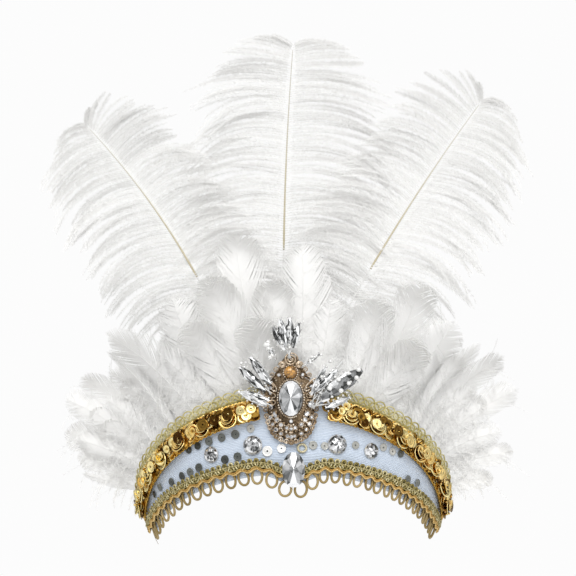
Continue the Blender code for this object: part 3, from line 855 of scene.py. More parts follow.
def length_of(label, text, value):
    """A length property, given in millimetres."""
    return FloatProperty(name=label, description=text, default=value * MM, min=0.0, unit="LENGTH")


def count_of(label, text, value, least):
    """A property that holds a number of things."""
    return IntProperty(name=label, description=text, default=value, min=least)


def colour_of(label, text, value):
    """A colour property."""
    return FloatVectorProperty(
        name=label, description=text, default=value, min=0.0, max=1.0, subtype="COLOR", size=3
    )


class HeadbandTrimSizes(bpy.types.PropertyGroup):
    """Sizes of the threads, cords, sequins and wires."""

    rib_pitch: length_of("Rib pitch", "Distance between the satin's ribs", 0.9)
    thread: length_of("Gimp thread", "Radius of the braid's threads", 0.46)
    picot_pitch: length_of("Picot pitch", "Distance between the braid's edge loops", 3.6)
    loop_cord: length_of("Loop cord", "Radius of the hanging loops' cord", 0.74)
    lace_cord: length_of("Lace cord", "Radius of the lace's cord", 0.52)
    big_sequin: length_of("Large sequin", "Radius of the large gold sequins", 5.3)
    small_sequin: length_of("Small sequin", "Radius of the small gold sequins", 3.3)
    wire: length_of("Brooch wire", "Radius of the brooch's wire", 0.42)


class HeadbandFeatherSizes(bpy.types.PropertyGroup):
    """Sizes and numbers of the feathers' strands."""

    barbs: count_of("Plume barbs", "Barbs each side of a plume", 124, 20)
    barbules: count_of("Barbules", "Barbules each side of a barb", 255, 0)
    barb_width: length_of("Barb width", "Width of a plume's barb at the quill", 0.5)
    barbule: length_of("Barbule length", "Length of a plume's barbules", 3.2)
    vane_barbs: count_of("Vane barbs", "Barbs each side of a body feather", 90, 20)
    down_barbs: count_of("Down barbs", "Downy barbs on each body feather", 32, 0)
    quill: length_of("Quill", "Radius of a plume's quill at its root", 0.95)


class HeadbandColours(bpy.types.PropertyGroup):
    """Colours of the cloth, threads, metals, stones and feathers."""

    satin: colour_of("Satin", "Pale cloth of the band", (0.74, 0.82, 0.93))
    # the satin shade colour is painted shade, laid in the troughs between the ribs
    satin_shade: colour_of("Satin shade", "Darker threads of the cloth", (0.50, 0.60, 0.75))
    braid: colour_of("Braid", "Middle colour of the lower braid", (0.35, 0.28, 0.09))
    loops: colour_of("Loops", "Middle colour of the hanging loops", (0.33, 0.24, 0.09))
    gold: colour_of("Gold sequins", "Middle colour of the gold sequins", (0.88, 0.52, 0.10))
    lace: colour_of("Lace", "Middle colour of the lace", (0.47, 0.40, 0.14))
    metal: colour_of("Brooch metal", "Middle colour of the brooch", (0.40, 0.29, 0.18))
    amber: colour_of("Amber", "Colour of the round stone", (0.70, 0.34, 0.06))
    feather: colour_of("Feather", "Middle colour of the feathers", (0.93, 0.925, 0.91))
    quill: colour_of("Quill", "Middle colour of the quills", (0.54, 0.48, 0.34))


# Threads, metals and foils: dark, middle (a colour, or its property's name), light,
# least and most roughness, metallic, mottle and its scale
STRANDS = {
    "gimp_thread": ((0.05, 0.045, 0.012), "braid", (0.95, 0.88, 0.58), 0.25, 0.5, 0.5, 0.7, 1400.0),
    "loop_cord": ((0.13, 0.075, 0.03), "loops", (0.60, 0.46, 0.25), 0.4, 0.65, 0.3, 0.6, 900.0),
    "lace_thread": ((0.24, 0.20, 0.06), "lace", (0.83, 0.78, 0.50), 0.35, 0.6, 0.3, 0.5, 1000.0),
    "gold_thread": (
        (0.12, 0.05, 0.012), (0.62, 0.38, 0.10), (0.98, 0.80, 0.42), 0.25, 0.45, 0.7, 0.6, 1200.0,
    ),
    "gold_sequin": ((0.05, 0.02, 0.004), "gold", (1.0, 0.84, 0.40), 0.14, 0.36, 1.0, 0.25, 500.0),
    "old_bronze": ((0.03, 0.018, 0.01), "metal", (1.0, 0.92, 0.80), 0.15, 0.4, 1.0, 0.9, 1200.0),
    "silver_bead": (
        (0.10, 0.10, 0.10), (0.62, 0.62, 0.61), (0.97, 0.97, 0.95), 0.08, 0.25, 0.4, 0.3, 600.0,
    ),
    "white_sequin": (
        (0.34, 0.34, 0.31), (0.80, 0.79, 0.76), (0.98, 0.98, 0.96), 0.15, 0.35, 0.25, 0.3, 700.0,
    ),
    "grey_sequin": (
        (0.035, 0.038, 0.034), (0.18, 0.19, 0.175), (0.42, 0.43, 0.40), 0.2, 0.4, 0.6, 0.4, 700.0,
    ),
    "pale_gold": (
        (0.22, 0.19, 0.10), (0.58, 0.52, 0.34), (0.95, 0.92, 0.80), 0.2, 0.4, 0.5, 0.6, 900.0,
    ),
    "ivory_quill": ((0.64, 0.54, 0.32), "quill", (0.70, 0.69, 0.65), 0.35, 0.55, 0.0, 0.3, 200.0),
}

# Foiled stones: dark, light, roughness, metallic, scale of the painted glints, their contrast,
# gloss coat
STONES = {
    "clear_crystal": ((0.02, 0.022, 0.022), (0.97, 0.98, 1.0), 0.06, 0.55, 700.0, 0.8, 1.0),
    "petal_crystal": ((0.02, 0.022, 0.02), (0.97, 0.98, 0.99), 0.08, 0.4, 420.0, 0.4, 0.5),
    "large_crystal": ((0.03, 0.035, 0.035), (0.97, 0.98, 1.0), 0.06, 0.2, 260.0, 0.3, 1.0),
}

# Feathers: level of the middle colour, and how far the dark one is below it
FEATHERS = {"plume_barb": (0.945, 0.89), "feather_vane": (0.92, 0.87)}


def finish_of(name):
    """The material of that name, made the first time that it is asked for."""
    if name in bpy.data.materials:
        return bpy.data.materials[name]
    colours = bpy.context.scene.headband_colours
    if name == "ribbed_satin":
        pitch = mm(bpy.context.scene.headband_trims.rib_pitch)
        return satin_finish(name, colours.satin_shade, colours.satin, pitch)
    if name == "amber_glass":
        deep = [value * 0.2 for value in colours.amber]
        return stone_finish(name, deep, colours.amber, 0.05, 0.1, 420.0, 1.0, 1.0)
    if name in STONES:
        return stone_finish(name, *STONES[name])
    if name in FEATHERS:
        level, depth = FEATHERS[name]
        middle = [value * level for value in colours.feather]
        pale = [min(1.0, value * 1.08) for value in middle]
        dim = [value * depth for value in middle]
        return strand_finish(name, dim, middle, pale, 0.55, 0.8, 0.0, 0.25, 60.0, 0.0, 0.2)
    dark, middle, *rest = STRANDS[name]
    if isinstance(middle, str):
        middle = getattr(colours, middle)
    return strand_finish(name, dark, middle, *rest)


class HEADBAND_OT_band(bpy.types.Operator):
    """Builds the satin-covered crescent"""

    bl_idname = "headband.band"
    bl_label = "Satin band"

    def execute(self, context):
        edge = BAND_WALL / 2.0
        along = np.linspace(-HALF_ARC, HALF_ARC, 241)
        low = peak(along) - BRAID_WIDTH / 2.0 - LOWER_HEM
        high = top_rise(along)
        turns = np.radians((45.0, 90.0, 135.0))
        # rise and share of the wall: up the face, over the top, down the back and under
        section = []
        for share in np.linspace(0.0, 1.0, 17):
            section.append((low + edge + (high - low - 2.0 * edge) * share, 1.0))
        for turn in turns:
            section.append((high - edge + edge * np.sin(turn), 0.5 + 0.5 * np.cos(turn)))
        for share in np.linspace(1.0, 0.0, 5):
            section.append((low + edge + (high - low - 2.0 * edge) * share, 0.0))
        for turn in turns:
            section.append((low + edge - edge * np.sin(turn), 0.5 - 0.5 * np.cos(turn)))
        rings, places = [], []
        for rise, side in section:
            # the cloth eases over its base a little
            ease = 0.12 * np.sin(along * 0.31 + rise * 0.9) * np.sin(rise * 0.37 + along * 0.07)
            ease = ease + 0.10 * np.sin(along * 0.83 - rise * 0.5)
            off = side * BAND_WALL + ease * (side == 1.0)
            rings.append(on_band(along, rise, off))
            places.append(np.stack([along, rise, np.broadcast_to(off, along.shape)], axis=-1))
        shape = Shape()
        loft(shape, np.stack(rings, axis=1))
        piece = shape.build("satin_band", ["ribbed_satin"], ["band"])
        cloth_place = piece.data.attributes.new("cloth_place", "FLOAT_VECTOR", "POINT")
        cloth_place.data.foreach_set("vector", np.stack(places, axis=1).astype(np.float32).ravel())
        return {"FINISHED"}


class HEADBAND_OT_braid(bpy.types.Operator):
    """Builds the gimp braid along the lower edge"""

    bl_idname = "headband.braid"
    bl_label = "Gimp braid"

    def execute(self, context):
        sizes = context.scene.headband_trims
        random = np.random.default_rng(11)
        thread, pitch = mm(sizes.thread), mm(sizes.picot_pitch)
        wave = 2.0 * math.pi / pitch
        half = BRAID_WIDTH / 2.0
        shape = Shape()
        ends = HALF_ARC - thread
        tape = np.linspace(-HALF_ARC, HALF_ARC, 200)
        section = []
        for across, lift in ((-0.8, 0.0), (-0.7, 0.6), (0.0, 0.8), (0.7, 0.6), (0.8, 0.0)):
            section.append(on_band(tape, peak(tape) + across * half, BRAID_OFF + lift))
        loft(shape, np.stack(section[::-1], axis=1), tone=0.02)
        # two threads that cross in waves, between two ropes of two strands
        along = np.linspace(-ends, ends, int(2.0 * ends / pitch * 10))
        for phase, lift in ((0.0, 1.25), (math.pi, 1.45)):
            cross = wave * along + phase
            rise = peak(along) + 0.1 * half + 0.5 * half * np.sin(cross)
            off = BRAID_OFF + lift + 0.3 * np.cos(cross * 2.0 + phase)
            tone = 0.55 + 0.25 * np.sin(cross * 1.37)
            band_tube(shape, along + 0.5 * np.cos(cross), rise, off, thread * 0.85, tone=tone[:-1])
        for place, lift, tone in ((0.46, 1.5, 0.62), (-0.32, 1.5, 0.5)):
            rope = np.linspace(-ends, ends, int(2.0 * ends / pitch * 7))
            for phase in (0.0, math.pi):
                turn = 2.0 * math.pi * rope / (0.55 * pitch) + phase
                rise = peak(rope) + place * half + 0.32 * np.sin(turn)
                off = BRAID_OFF + lift + 0.3 * np.cos(turn)
                band_tube(shape, rope, rise, off, thread * 0.55, 4, tone=tone)
        # small knotted loops along the upper edge
        seed = ball_form(1)
        count = int(2.0 * ends / pitch)
        for centre in (np.arange(count) + 0.5) * 2.0 * ends / count - ends:
            turn = np.linspace(0.0, math.tau, 12, endpoint=False)
            tall = random.uniform(1.15, 1.45)
            rise = peak(centre) + 0.80 * half + tall * np.cos(turn) * 0.95
            tone = random.uniform(0.3, 0.75)
            band_tube(
                shape, centre + 1.12 * np.sin(turn), rise, BRAID_OFF + 0.9 + 0.25 * np.sin(turn),
                thread * 1.2, closed=True, tone=tone,
            )
            knot = axes_at(centre, peak(centre) + 0.86 * half, BRAID_OFF + 0.8)
            stamp(shape, seed, knot, 0.85, 0.14)
        # the scalloped cord along the lower edge, one dip between each two loops
        edge = np.linspace(-ends, ends, int(2.0 * ends / CORD_TWIST * 5))
        cycle = 2.0 * math.pi * edge * np.where(edge < 0.0, LOOPS_LEFT, LOOPS_RIGHT) / HALF_ARC
        for drop, lift, radius, tone in ((-0.80, 1.1, 0.95, 0.70), (-0.56, 1.5, 0.8, 0.38)):
            for phase in (0.0, math.pi):
                twist = 2.0 * math.pi * edge / CORD_TWIST + phase
                rise = peak(edge) + drop * half - 0.8 * np.cos(cycle) + 0.34 * np.sin(twist)
                off = BRAID_OFF + lift + 0.3 * np.cos(twist)
                band_tube(shape, edge, rise, off, thread * radius, 4, tone=tone, finish=1)
        shape.build("gimp_braid", ["gimp_thread", "gold_thread"], ["lower_braid"])
        return {"FINISHED"}


class HEADBAND_OT_loops(bpy.types.Operator):
    """Builds the cord loops that hang below the braid"""

    bl_idname = "headband.loops"
    bl_label = "Hanging loops"

    def execute(self, context):
        random = np.random.default_rng(23)
        radius = mm(context.scene.headband_trims.loop_cord)
        shape = Shape()
        turn = np.linspace(0.0, math.tau, 26, endpoint=False)
        for number in range(-LOOPS_LEFT, LOOPS_RIGHT):
            # the loops on the right stand closer together, and past the first two they are smaller
            pitch = HALF_ARC / (LOOPS_LEFT if number < 0 else LOOPS_RIGHT)
            small = number > 1
            centre = (number + 0.5) * pitch + random.uniform(-0.25, 0.25)
            middle_pair = number in (-1, 0)
            centre += math.copysign(0.6, centre) * middle_pair + 0.7 * (number in (0, 1))
            low = peak(centre) * (1.0 + LOOP_SAG) - LOOP_DROP + radius + random.uniform(-0.1, 0.5)
            low += 0.9 * small
            top = low + random.uniform(*LOOP_HEIGHT)
            half_width = random.uniform(*LOOP_HALF_WIDTH) + 0.5 * middle_pair - 0.6 * small
            swell = 1.0 - 0.08 * np.cos(turn)
            lean = random.uniform(-0.5, 0.5)
            across = half_width * np.sin(turn) * swell + lean * (1.0 - np.cos(turn)) / 2.0
            rise = (top + low) / 2.0 + (top - low) / 2.0 * np.cos(turn)
            off = FACE_OFF + radius + 0.25 * np.sin(turn) * (1.0 if number % 2 else -1.0)
            band_tube(
                shape, np.clip(centre + across, -HALF_ARC, HALF_ARC), rise, off, radius, 7, True,
                random.uniform(0.35, 0.7),
            )
        # a running thread that the loops hang from, and a loose end at the left
        run = np.linspace(-HALF_ARC, HALF_ARC, 260)
        band_tube(shape, run, peak(run) + 0.6, FACE_OFF + radius, radius * 0.8, tone=0.4)
        tail = np.linspace(0.0, 1.0, 12)
        start = on_band(-HALF_ARC + 0.6, -2.0, FACE_OFF + 0.5)
        drop = np.stack([2.2 * tail + 1.4 * tail ** 2, -1.5 * tail, -8.5 * tail], axis=-1)
        tube(shape, start + drop, 0.22 * (1.0 - 0.5 * tail), (0.0, -1.0, 0.0), 5, tone=0.3)
        shape.build("cord_loops", ["loop_cord"], ["loop_fringe"])
        return {"FINISHED"}


# Upper sides of the sequins, from the hole to the rim: radius and height, in shares of the radius
CUP_TOP = (
    (0.13, 0.10),
    (0.30, 0.02),
    (0.42, 0.12),
    (0.54, 0.04),
    (0.70, 0.20),
    (0.80, 0.12),
    (0.96, 0.34),
    (1.00, 0.26),
)
SMALL_TOP = ((0.14, 0.06), (0.45, 0.02), (0.62, 0.09), (1.00, 0.26))
FLAT_TOP = ((0.18, 0.10), (0.30, 0.03), (0.55, 0.06), (0.80, 0.05), (1.00, 0.14))
SEQUIN_SHEET = 0.035

# Painted highlights and shade on the rings of faces between those: how much lighter each ring is
# than the sequin itself
CUP_PAINTED_LIGHT = (-0.3, 0.2, -0.5, 0.15, -0.5, 0.15, 0.3)
SMALL_PAINTED_LIGHT = (-0.25, 0.1, 0.15, 0.3)

# Flat gold discs over the cups: place along, place across in shares of half the trim, radius, tone.
# A tone near 1 paints a bright highlight over the whole disc.
FLAT_DISCS = {
    "left": (
        (30.0, 0.22, 3.6, 0.04),
        (37.0, 0.10, 3.2, 0.0),
        (43.3, 0.12, 3.5, 0.14),
        (58.5, 0.20, 3.6, 0.0),
        (21.5, -0.35, 3.0, 1.0),
        (19.0, 0.15, 2.9, 0.9),
        (24.0, 0.20, 2.6, 1.0),
        (83.0, 0.0, 3.4, 0.95),
        (97.0, 0.1, 3.2, 0.55),
    ),
    "right": (
        (33.5, -0.35, 2.4, 0.0),
        (42.5, 0.50, 2.2, 0.05),
        (51.5, 0.20, 3.4, 0.06),
        (39.5, -0.05, 2.9, 1.0),
        (60.0, 0.0, 3.5, 0.8),
        (73.0, 0.2, 3.5, 0.85),
        (90.0, 0.1, 3.4, 0.8),
        (101.0, -0.2, 2.4, 0.05),
    ),
}


def cup_form(rows, sides):
    """A cupped sequin with a hole: its rings above, and the same a sheet's thickness below."""
    below = [(radius, height - SEQUIN_SHEET) for radius, height in reversed(rows)]
    return turned_form(list(rows) + below, sides)


def ring_painted_light(top, shades, sides):
    """The painted light and shade of each face of a cup form: rings of faces without any keep the
    plain tone.
    """
    return np.repeat(shades + (0.0,) * (2 * len(top) - len(shades)), sides)


def tipped(places, random, most, lean=0.0):
    """The same places with their axes tipped at random, and by a steady lean forward at the top."""
    origin, right, up, out = places
    count = len(origin)
    roll = random.uniform(-most, most, count)[:, None]
    nod = (random.uniform(-most, most, count) + lean)[:, None]
    out = unit(out + roll * right + nod * up)
    right = unit(np.cross(up, out))
    up = unit(np.cross(out, right))
    return origin, right, up, out


class HEADBAND_OT_gold_trim(bpy.types.Operator):
    """Builds the overlapping gold sequins on each side of the brooch"""

    bl_idname = "headband.gold_trim"
    bl_label = "Gold sequin trim"

    def execute(self, context):
        sizes = context.scene.headband_trims
        half = TRIM_WIDTH / 2.0
        big, small = mm(sizes.big_sequin), mm(sizes.small_sequin)
        large = cup_form(CUP_TOP, 20), ring_painted_light(CUP_TOP, CUP_PAINTED_LIGHT, 20)
        little = cup_form(SMALL_TOP, 14), ring_painted_light(SMALL_TOP, SMALL_PAINTED_LIGHT, 14)
        flat_form = cup_form(FLAT_TOP, 18)
        bead = ball_form(1)
        for side, sign in SIDES:
            random = np.random.default_rng(37 if sign < 0 else 41)
            shape = Shape()
            tape = sign * np.linspace(TRIM_START, HALF_ARC, 90)[::int(sign)]
            section = []
            for across, lift in ((-0.86, 0.0), (-0.8, 0.9), (0.0, 1.5), (0.8, 0.9), (0.86, 0.0)):
                wobble = 0.25 * np.sin(tape * 1.9 + across * 3.0)
                rise = trim_rise(tape) + across * half + wobble
                section.append(on_band(tape, rise, TRIM_OFF + lift))
            loft(shape, np.stack(section[::-1], axis=1), tone=0.30)
            first_cup = CUP_PITCH if sign < 0.0 else 10.5
            first_top = first_cup - 11.0 + CUP_PITCH * (sign < 0.0)
            # place across, pitch, first place, radius, height, dark share, lean, stack
            rows = (
                (-0.34, CUP_PITCH, first_cup - CUP_PITCH / 2.0, small * 1.1, 1.7, 0.25, 0.40, 1),
                (-0.62, CUP_PITCH / 2.0, 1.5, small * 0.8, 1.3, 0.35, 0.50, 1),
                (0.58, 5.6, 2.0, small * 0.85, 1.5, 0.40, -0.35, 1),
                (-0.26, CUP_PITCH, first_cup, big, 1.9, 0.0, 0.35, 3),
                (0.24, CUP_PITCH, first_top, small, 3.4, 0.3, 0.05, 1),
                (0.14, CUP_PITCH, first_cup - CUP_PITCH / 2.0, small * 0.92, 3.2, 0.25, 0.0, 1),
                (0.02, 9.1, 6.2, small * 0.72, 4.0, 0.10, 0.1, 1),
            )
            for place, pitch, first, radius, lift, dark, lean, stack in rows:
                form, shade = large if radius == big else little
                along = np.arange(TRIM_START + first, HALF_ARC - 0.75 * radius, pitch)
                count = len(along)
                along = sign * (along + random.uniform(-0.8, 0.8, count))
                rise = trim_rise(along) + place * half + random.uniform(-0.5, 0.5, count)
                tone = np.where(random.random(count) < dark, random.uniform(0.0, 0.08, count),
                                random.uniform(0.5, 1.0, count))
                off = TRIM_OFF + lift + random.uniform(-0.3, 0.4, count)
                # painted light: the left end of the trim faces the light, so its sequins are
                # coloured lighter
                tone = tone + 0.4 * (np.abs(along) > 0.6 * HALF_ARC) * (sign < 0.0) * (tone > 0.25)
                scale = radius * random.uniform(0.9, 1.06, count)
                # painted highlights and shade on the cups' rings, half as strong on the dark
                # sequins
                relief = shade * np.where(tone > 0.25, 1.0, 0.5)[:, None]
                tones = np.clip(tone[:, None] + relief, 0.0, 1.0)
                # cups stand in each other, each smaller than the one below it
                for level in range(stack):
                    share = 1.0 - 0.24 * level
                    seat = axes_at(along, rise + 0.22 * level * radius, off + 0.75 * level)
                    stamp(shape, form, tipped(seat, random, 0.24, lean), scale * share, tones)
            # flat discs over the cups
            along, across, radius, tone = np.array(FLAT_DISCS[side]).T
            seat = axes_at(sign * along, trim_rise(along) + across * half, TRIM_OFF + 4.6)
            stamp(shape, flat_form, tipped(seat, random, 0.12, 0.1), radius, tone)
            # gold cord in two waves above, a plain one below, and small beads between
            along = sign * np.linspace(TRIM_START + 0.6, HALF_ARC - 0.6, 520)
            for phase, lift, tone in ((0.0, 1.6, 0.80), (math.pi, 1.2, 0.55)):
                turn = 2.0 * math.pi * along / 3.4 + phase
                rise = trim_rise(along) + half * 0.80 + 0.85 * np.sin(turn)
                off = TRIM_OFF + lift + 0.3 * np.cos(turn)
                band_tube(shape, along, rise, off, 0.52, 5, tone=tone)
            turn = 2.0 * math.pi * along / 2.6
            rise = trim_rise(along) - half * 0.80 + 0.45 * np.sin(turn)
            band_tube(shape, along, rise, TRIM_OFF + 0.9, 0.45, 5, tone=0.35)
            along = sign * random.uniform(TRIM_START + 1.0, HALF_ARC - 1.0, TRIM_BEADS)
            rise = trim_rise(along) + half * random.uniform(-0.75, 0.85, TRIM_BEADS)
            seat = axes_at(along, rise, TRIM_OFF + random.uniform(1.8, 3.6, TRIM_BEADS))
            size, tone = (random.uniform(least, 1.0, TRIM_BEADS) for least in (0.6, 0.3))
            stamp(shape, bead, seat, size, tone)
            nodes = ["sequin_trim_" + side]
            shape.build("gold_sequins_" + side, ["gold_sequin"], nodes)
        return {"FINISHED"}


# Rings of one repeat of the lace: shift and half width in repeats, half height, rise above the
# trim, share of the cord, tone
LACE_RINGS = (
    (0.0, 0.50, 2.75, 4.10, 0.85, 0.60),
    (0.0, 0.22, 1.10, 3.90, 0.50, 0.85),
    (0.5, 0.48, 2.50, 1.90, 0.80, 0.45),
    (0.5, 0.20, 1.00, 1.80, 0.50, 0.75),
    (0.0, 0.34, 1.40, -0.20, 0.85, 0.35),
)


class HEADBAND_OT_lace(bpy.types.Operator):
    """Builds the looped lace above the sequins"""

    bl_idname = "headband.lace"
    bl_label = "Looped lace edge"

    def execute(self, context):
        radius = mm(context.scene.headband_trims.lace_cord)
        count = int((HALF_ARC - TRIM_START) / LACE_PITCH)
        pitch = (HALF_ARC - TRIM_START) / count
        base = TRIM_WIDTH / 2.0
        turn = np.linspace(0.0, math.tau, 18, endpoint=False)
        off = FACE_OFF + LACE_THICKNESS / 2.0
        for side, sign in SIDES:
            random = np.random.default_rng(53 if sign < 0 else 59)
            shape = Shape()
            for number in range(count):
                centre = TRIM_START + (number + 0.5) * pitch
                tilt = random.uniform(-0.7, 0.7)
                for shift, wide, tall, lift, share, tone in LACE_RINGS:
                    across = shift * pitch + wide * pitch * np.sin(turn) + tilt * np.cos(turn)
                    along = sign * np.clip(centre + across, TRIM_START, HALF_ARC - radius)
                    rise = trim_rise(centre) + base + lift + tall * np.cos(turn)
                    ring_off = off + 0.25 * np.sin(turn + number)
                    tone = tone + random.uniform(-0.15, 0.15)
                    band_tube(shape, along, rise, ring_off, radius * share, 5, True, tone)
            # fine net behind the loops
            along = sign * np.linspace(TRIM_START + 0.4, HALF_ARC - 0.4, 600)
            for phase, tall in ((0.0, 3.0), (3.1, 2.7)):
                cycle = 2.0 * math.pi * along / 1.5 + phase
                rise = trim_rise(along) + base + 2.8 + tall * np.sin(cycle)
                band_tube(shape, along, rise, off - 0.3, 0.13, 3, tone=1.0)
            # two cords that cross along its foot
            along = sign * np.linspace(TRIM_START + 0.4, HALF_ARC - 0.4, 420)
            for phase, lift in ((0.0, 0.3), (math.pi, 0.5)):
                cycle = 2.0 * math.pi * along / (pitch * 0.6) + phase
                rise = trim_rise(along) + base + lift + 0.55 * np.sin(cycle)
                band_tube(shape, along, rise, off + 0.2 * np.cos(cycle), radius * 0.8, 4, tone=0.4)
            shape.build("looped_lace_" + side, ["lace_thread"], ["lace_edge_" + side])
        return {"FINISHED"}


def brooch_points(across, up, off):
    """Points on the brooch by their place from its middle."""
    rise = BROOCH_RISE + up
    return BROOCH_SHIFT + np.asarray(across) / girth(rise, off), rise


def brooch_seats(across, up, off):
    """Places with axes on the brooch."""
    return axes_at(*brooch_points(across, up, off), off)


def brooch_wire(shape, across, up, off, *rest):
    """A wire through places on the brooch."""
    band_tube(shape, *brooch_points(across, up, off), off, *rest)


def brooch_edge(turn, share=1.0):
    """A place on the brooch's outline, drawn in by a share."""
    up = np.cos(turn)
    wide = np.maximum(0.0, read_curve(BROOCH_OUTLINE, up))
    return np.sign(np.sin(turn)) * wide * BROOCH_HALF_WIDTH * share, up * BROOCH_HALF_HEIGHT * share


# Levels of the brooch's small stones and of the collars round them, as radius and height
GEM_CUT = ((0.9, 0.0), (1.0, 0.25), (0.6, 0.65))
COLLAR = ((0.95, 0.0), (1.05, 0.35), (1.3, 0.25), (1.3, 0.0))

# Scrolls over the amber stone: place across and up, radius, way round
SCROLLS = ((0.2, 21.4, 3.9, 1.0), (-4.8, 18.4, 1.9, -1.0), (4.9, 18.4, 1.9, 1.0))

# Arcs in the lower third: share of the outline, number, size, 1 for stones or 0 for beads
BROOCH_ARCS = ((0.62, 11, 0.8, 0), (0.70, 9, 1.2, 1), (0.79, 17, 0.8, 0), (0.88, 11, 1.1, 1))

# Small round stones: place across and up, radius
BROOCH_STONES = (
    (11.4, -3.4, 2.0),
    (-11.2, -5.0, 1.2),
    (-11.6, 6.0, 1.1),
    (11.6, 6.6, 1.2),
    (-6.6, 12.9, 1.0),
    (6.6, 12.9, 1.1),
    (0.1, -13.2, 1.15),
    (8.6, -9.4, 1.2),
    (-8.8, -9.8, 1.1),
)
BROOCH_BEADS = 70


class HEADBAND_OT_brooch(bpy.types.Operator):
    """Builds the brooch of looped wire with its two stones"""

    bl_idname = "headband.brooch"
    bl_label = "Brooch"

    def execute(self, context):
        random = np.random.default_rng(67)
        wire = mm(context.scene.headband_trims.wire)
        shape = Shape()
        turn = np.linspace(0.0, math.tau, 64, endpoint=False) + 0.01
        levels = ((0.90, 0.0), (0.95, 1.0), (0.90, 1.6), (0.45, 2.0), (0.02, 2.0))
        rings = []
        for share, lift in levels:
            across, up = brooch_edge(turn, share)
            off = FACE_OFF + lift
            rings.append(on_band(*brooch_points(across, up, off), off))
        loft(shape, np.stack(rings), tone=0.20)
        # rope rim of two strands round the lower part
        rope = np.linspace(0.62 * math.pi, 1.38 * math.pi, 130)
        for phase in (0.0, math.pi):
            spin = rope * 40.0 + phase
            across, up = brooch_edge(rope, 1.02)
            size = 1.0 + 0.022 * np.sin(spin)
            off = FACE_OFF + 2.2 + 0.42 * np.cos(spin)
            brooch_wire(shape, across * size, up * size, off, 0.45, 5, False, 0.62)
        # wire loops that point outward all round, in two nested sizes
        stone_up = -0.02 * BROOCH_HALF_HEIGHT
        count = 24
        ring = np.linspace(0.0, math.tau, 14, endpoint=False)
        for number in range(count):
            angle = (number + 0.5) * math.tau / count
            edge_across, edge_up = brooch_edge(angle, random.uniform(1.08, 1.20))
            if not -0.42 < edge_up / BROOCH_HALF_HEIGHT < 0.60:
                continue
            in_across = (STONE_HALF_WIDTH + 1.9) * math.sin(angle)
            in_up = stone_up + (STONE_HALF_HEIGHT + 1.9) * math.cos(angle)
            middle = np.array([(edge_across + in_across) / 2.0, (edge_up + in_up) / 2.0])
            reach = np.array([edge_across - in_across, edge_up - in_up])
            long = max(1.3, math.hypot(*reach) / 2.0)
            way = reach / max(1e-6, math.hypot(*reach))
            for share, lift, tone in ((1.0, 3.2, 0.74), (0.5, 3.4, 0.45)):
                along_way = long * share * np.cos(ring)
                beside = 1.6 * share ** 0.8 * np.sin(ring)
                across = middle[0] + way[0] * along_way - way[1] * beside
                up = middle[1] + way[1] * along_way + way[0] * beside
                off = FACE_OFF + lift + 0.35 * np.cos(ring)
                tone = tone + random.uniform(-0.2, 0.2)
                brooch_wire(shape, across, up, off, wire * 1.15, 5, True, tone)
        # small rings and beads all round, but not at the top
        bead = ball_form(2)
        count = 40
        for number in range(count):
            angle = (number + 0.5) * math.tau / count
            across, up = brooch_edge(angle, 1.0)
            if up > 0.72 * BROOCH_HALF_HEIGHT:
                continue
            off = FACE_OFF + 3.1 + 0.3 * np.cos(ring)
            place = across + 1.15 * np.sin(ring), up + 1.15 * np.cos(ring)
            brooch_wire(shape, *place, off, wire, 5, True, random.uniform(0.3, 0.8))
            seat = brooch_seats(across, up, FACE_OFF + 2.9)
            stamp(shape, bead, seat, 0.5, random.uniform(0.4, 1.0))
        # beaded settings round both stones
        amber_up = STONE_HALF_HEIGHT + AMBER_RADIUS + 2.0 * CLEARANCE
        settings = (
            (stone_up, STONE_HALF_WIDTH + 0.7, STONE_HALF_HEIGHT + 0.7, 46, 0.58),
            (amber_up, AMBER_RADIUS + 0.4, AMBER_RADIUS + 0.4, 20, 0.50),
        )
        for centre, wide, tall, count, size in settings:
            spot = np.arange(count) * math.tau / count
            across, up = wide * np.sin(spot), centre + tall * np.cos(spot)
            seat = brooch_seats(across, up, FACE_OFF + 3.9)
            stamp(shape, bead, seat, size, random.uniform(0.5, 0.95, count))
        # a round scroll over the amber stone, between two smaller ones
        for across, up, size, way in SCROLLS:
            spiral = np.linspace(0.0, 2.1 * math.tau, 44)
            radius = size * (1.0 - spiral / (2.7 * math.tau))
            spread = across + way * radius * np.cos(spiral)
            height = up + radius * np.sin(spiral)
            off = FACE_OFF + 4.6 + 0.35 * spiral / math.tau
            brooch_wire(shape, spread, height, off, wire * 1.25, 6, False, 0.62)
        # arcs of beads and of stones in collars in the lower third
        gem, collar = cut_form(GEM_CUT, 8), turned_form(COLLAR, 12)
        for share, count, size, jewelled in BROOCH_ARCS:
            spot = np.linspace(0.66 * math.pi, 1.34 * math.pi, count)
            across, up = brooch_edge(spot, share)
            seat = brooch_seats(across, up, FACE_OFF + 3.0 + 0.4 * jewelled)
            if jewelled:
                tones = random.uniform(0.2, 1.0, (count, len(gem[1])))
                stamp(shape, gem, seat, size * random.uniform(0.8, 1.15, count), tones, 1, False)
                stamp(shape, collar, seat, size, random.uniform(0.3, 0.8, count))
            else:
                stamp(shape, bead, seat, size, random.uniform(0.3, 0.9, count))
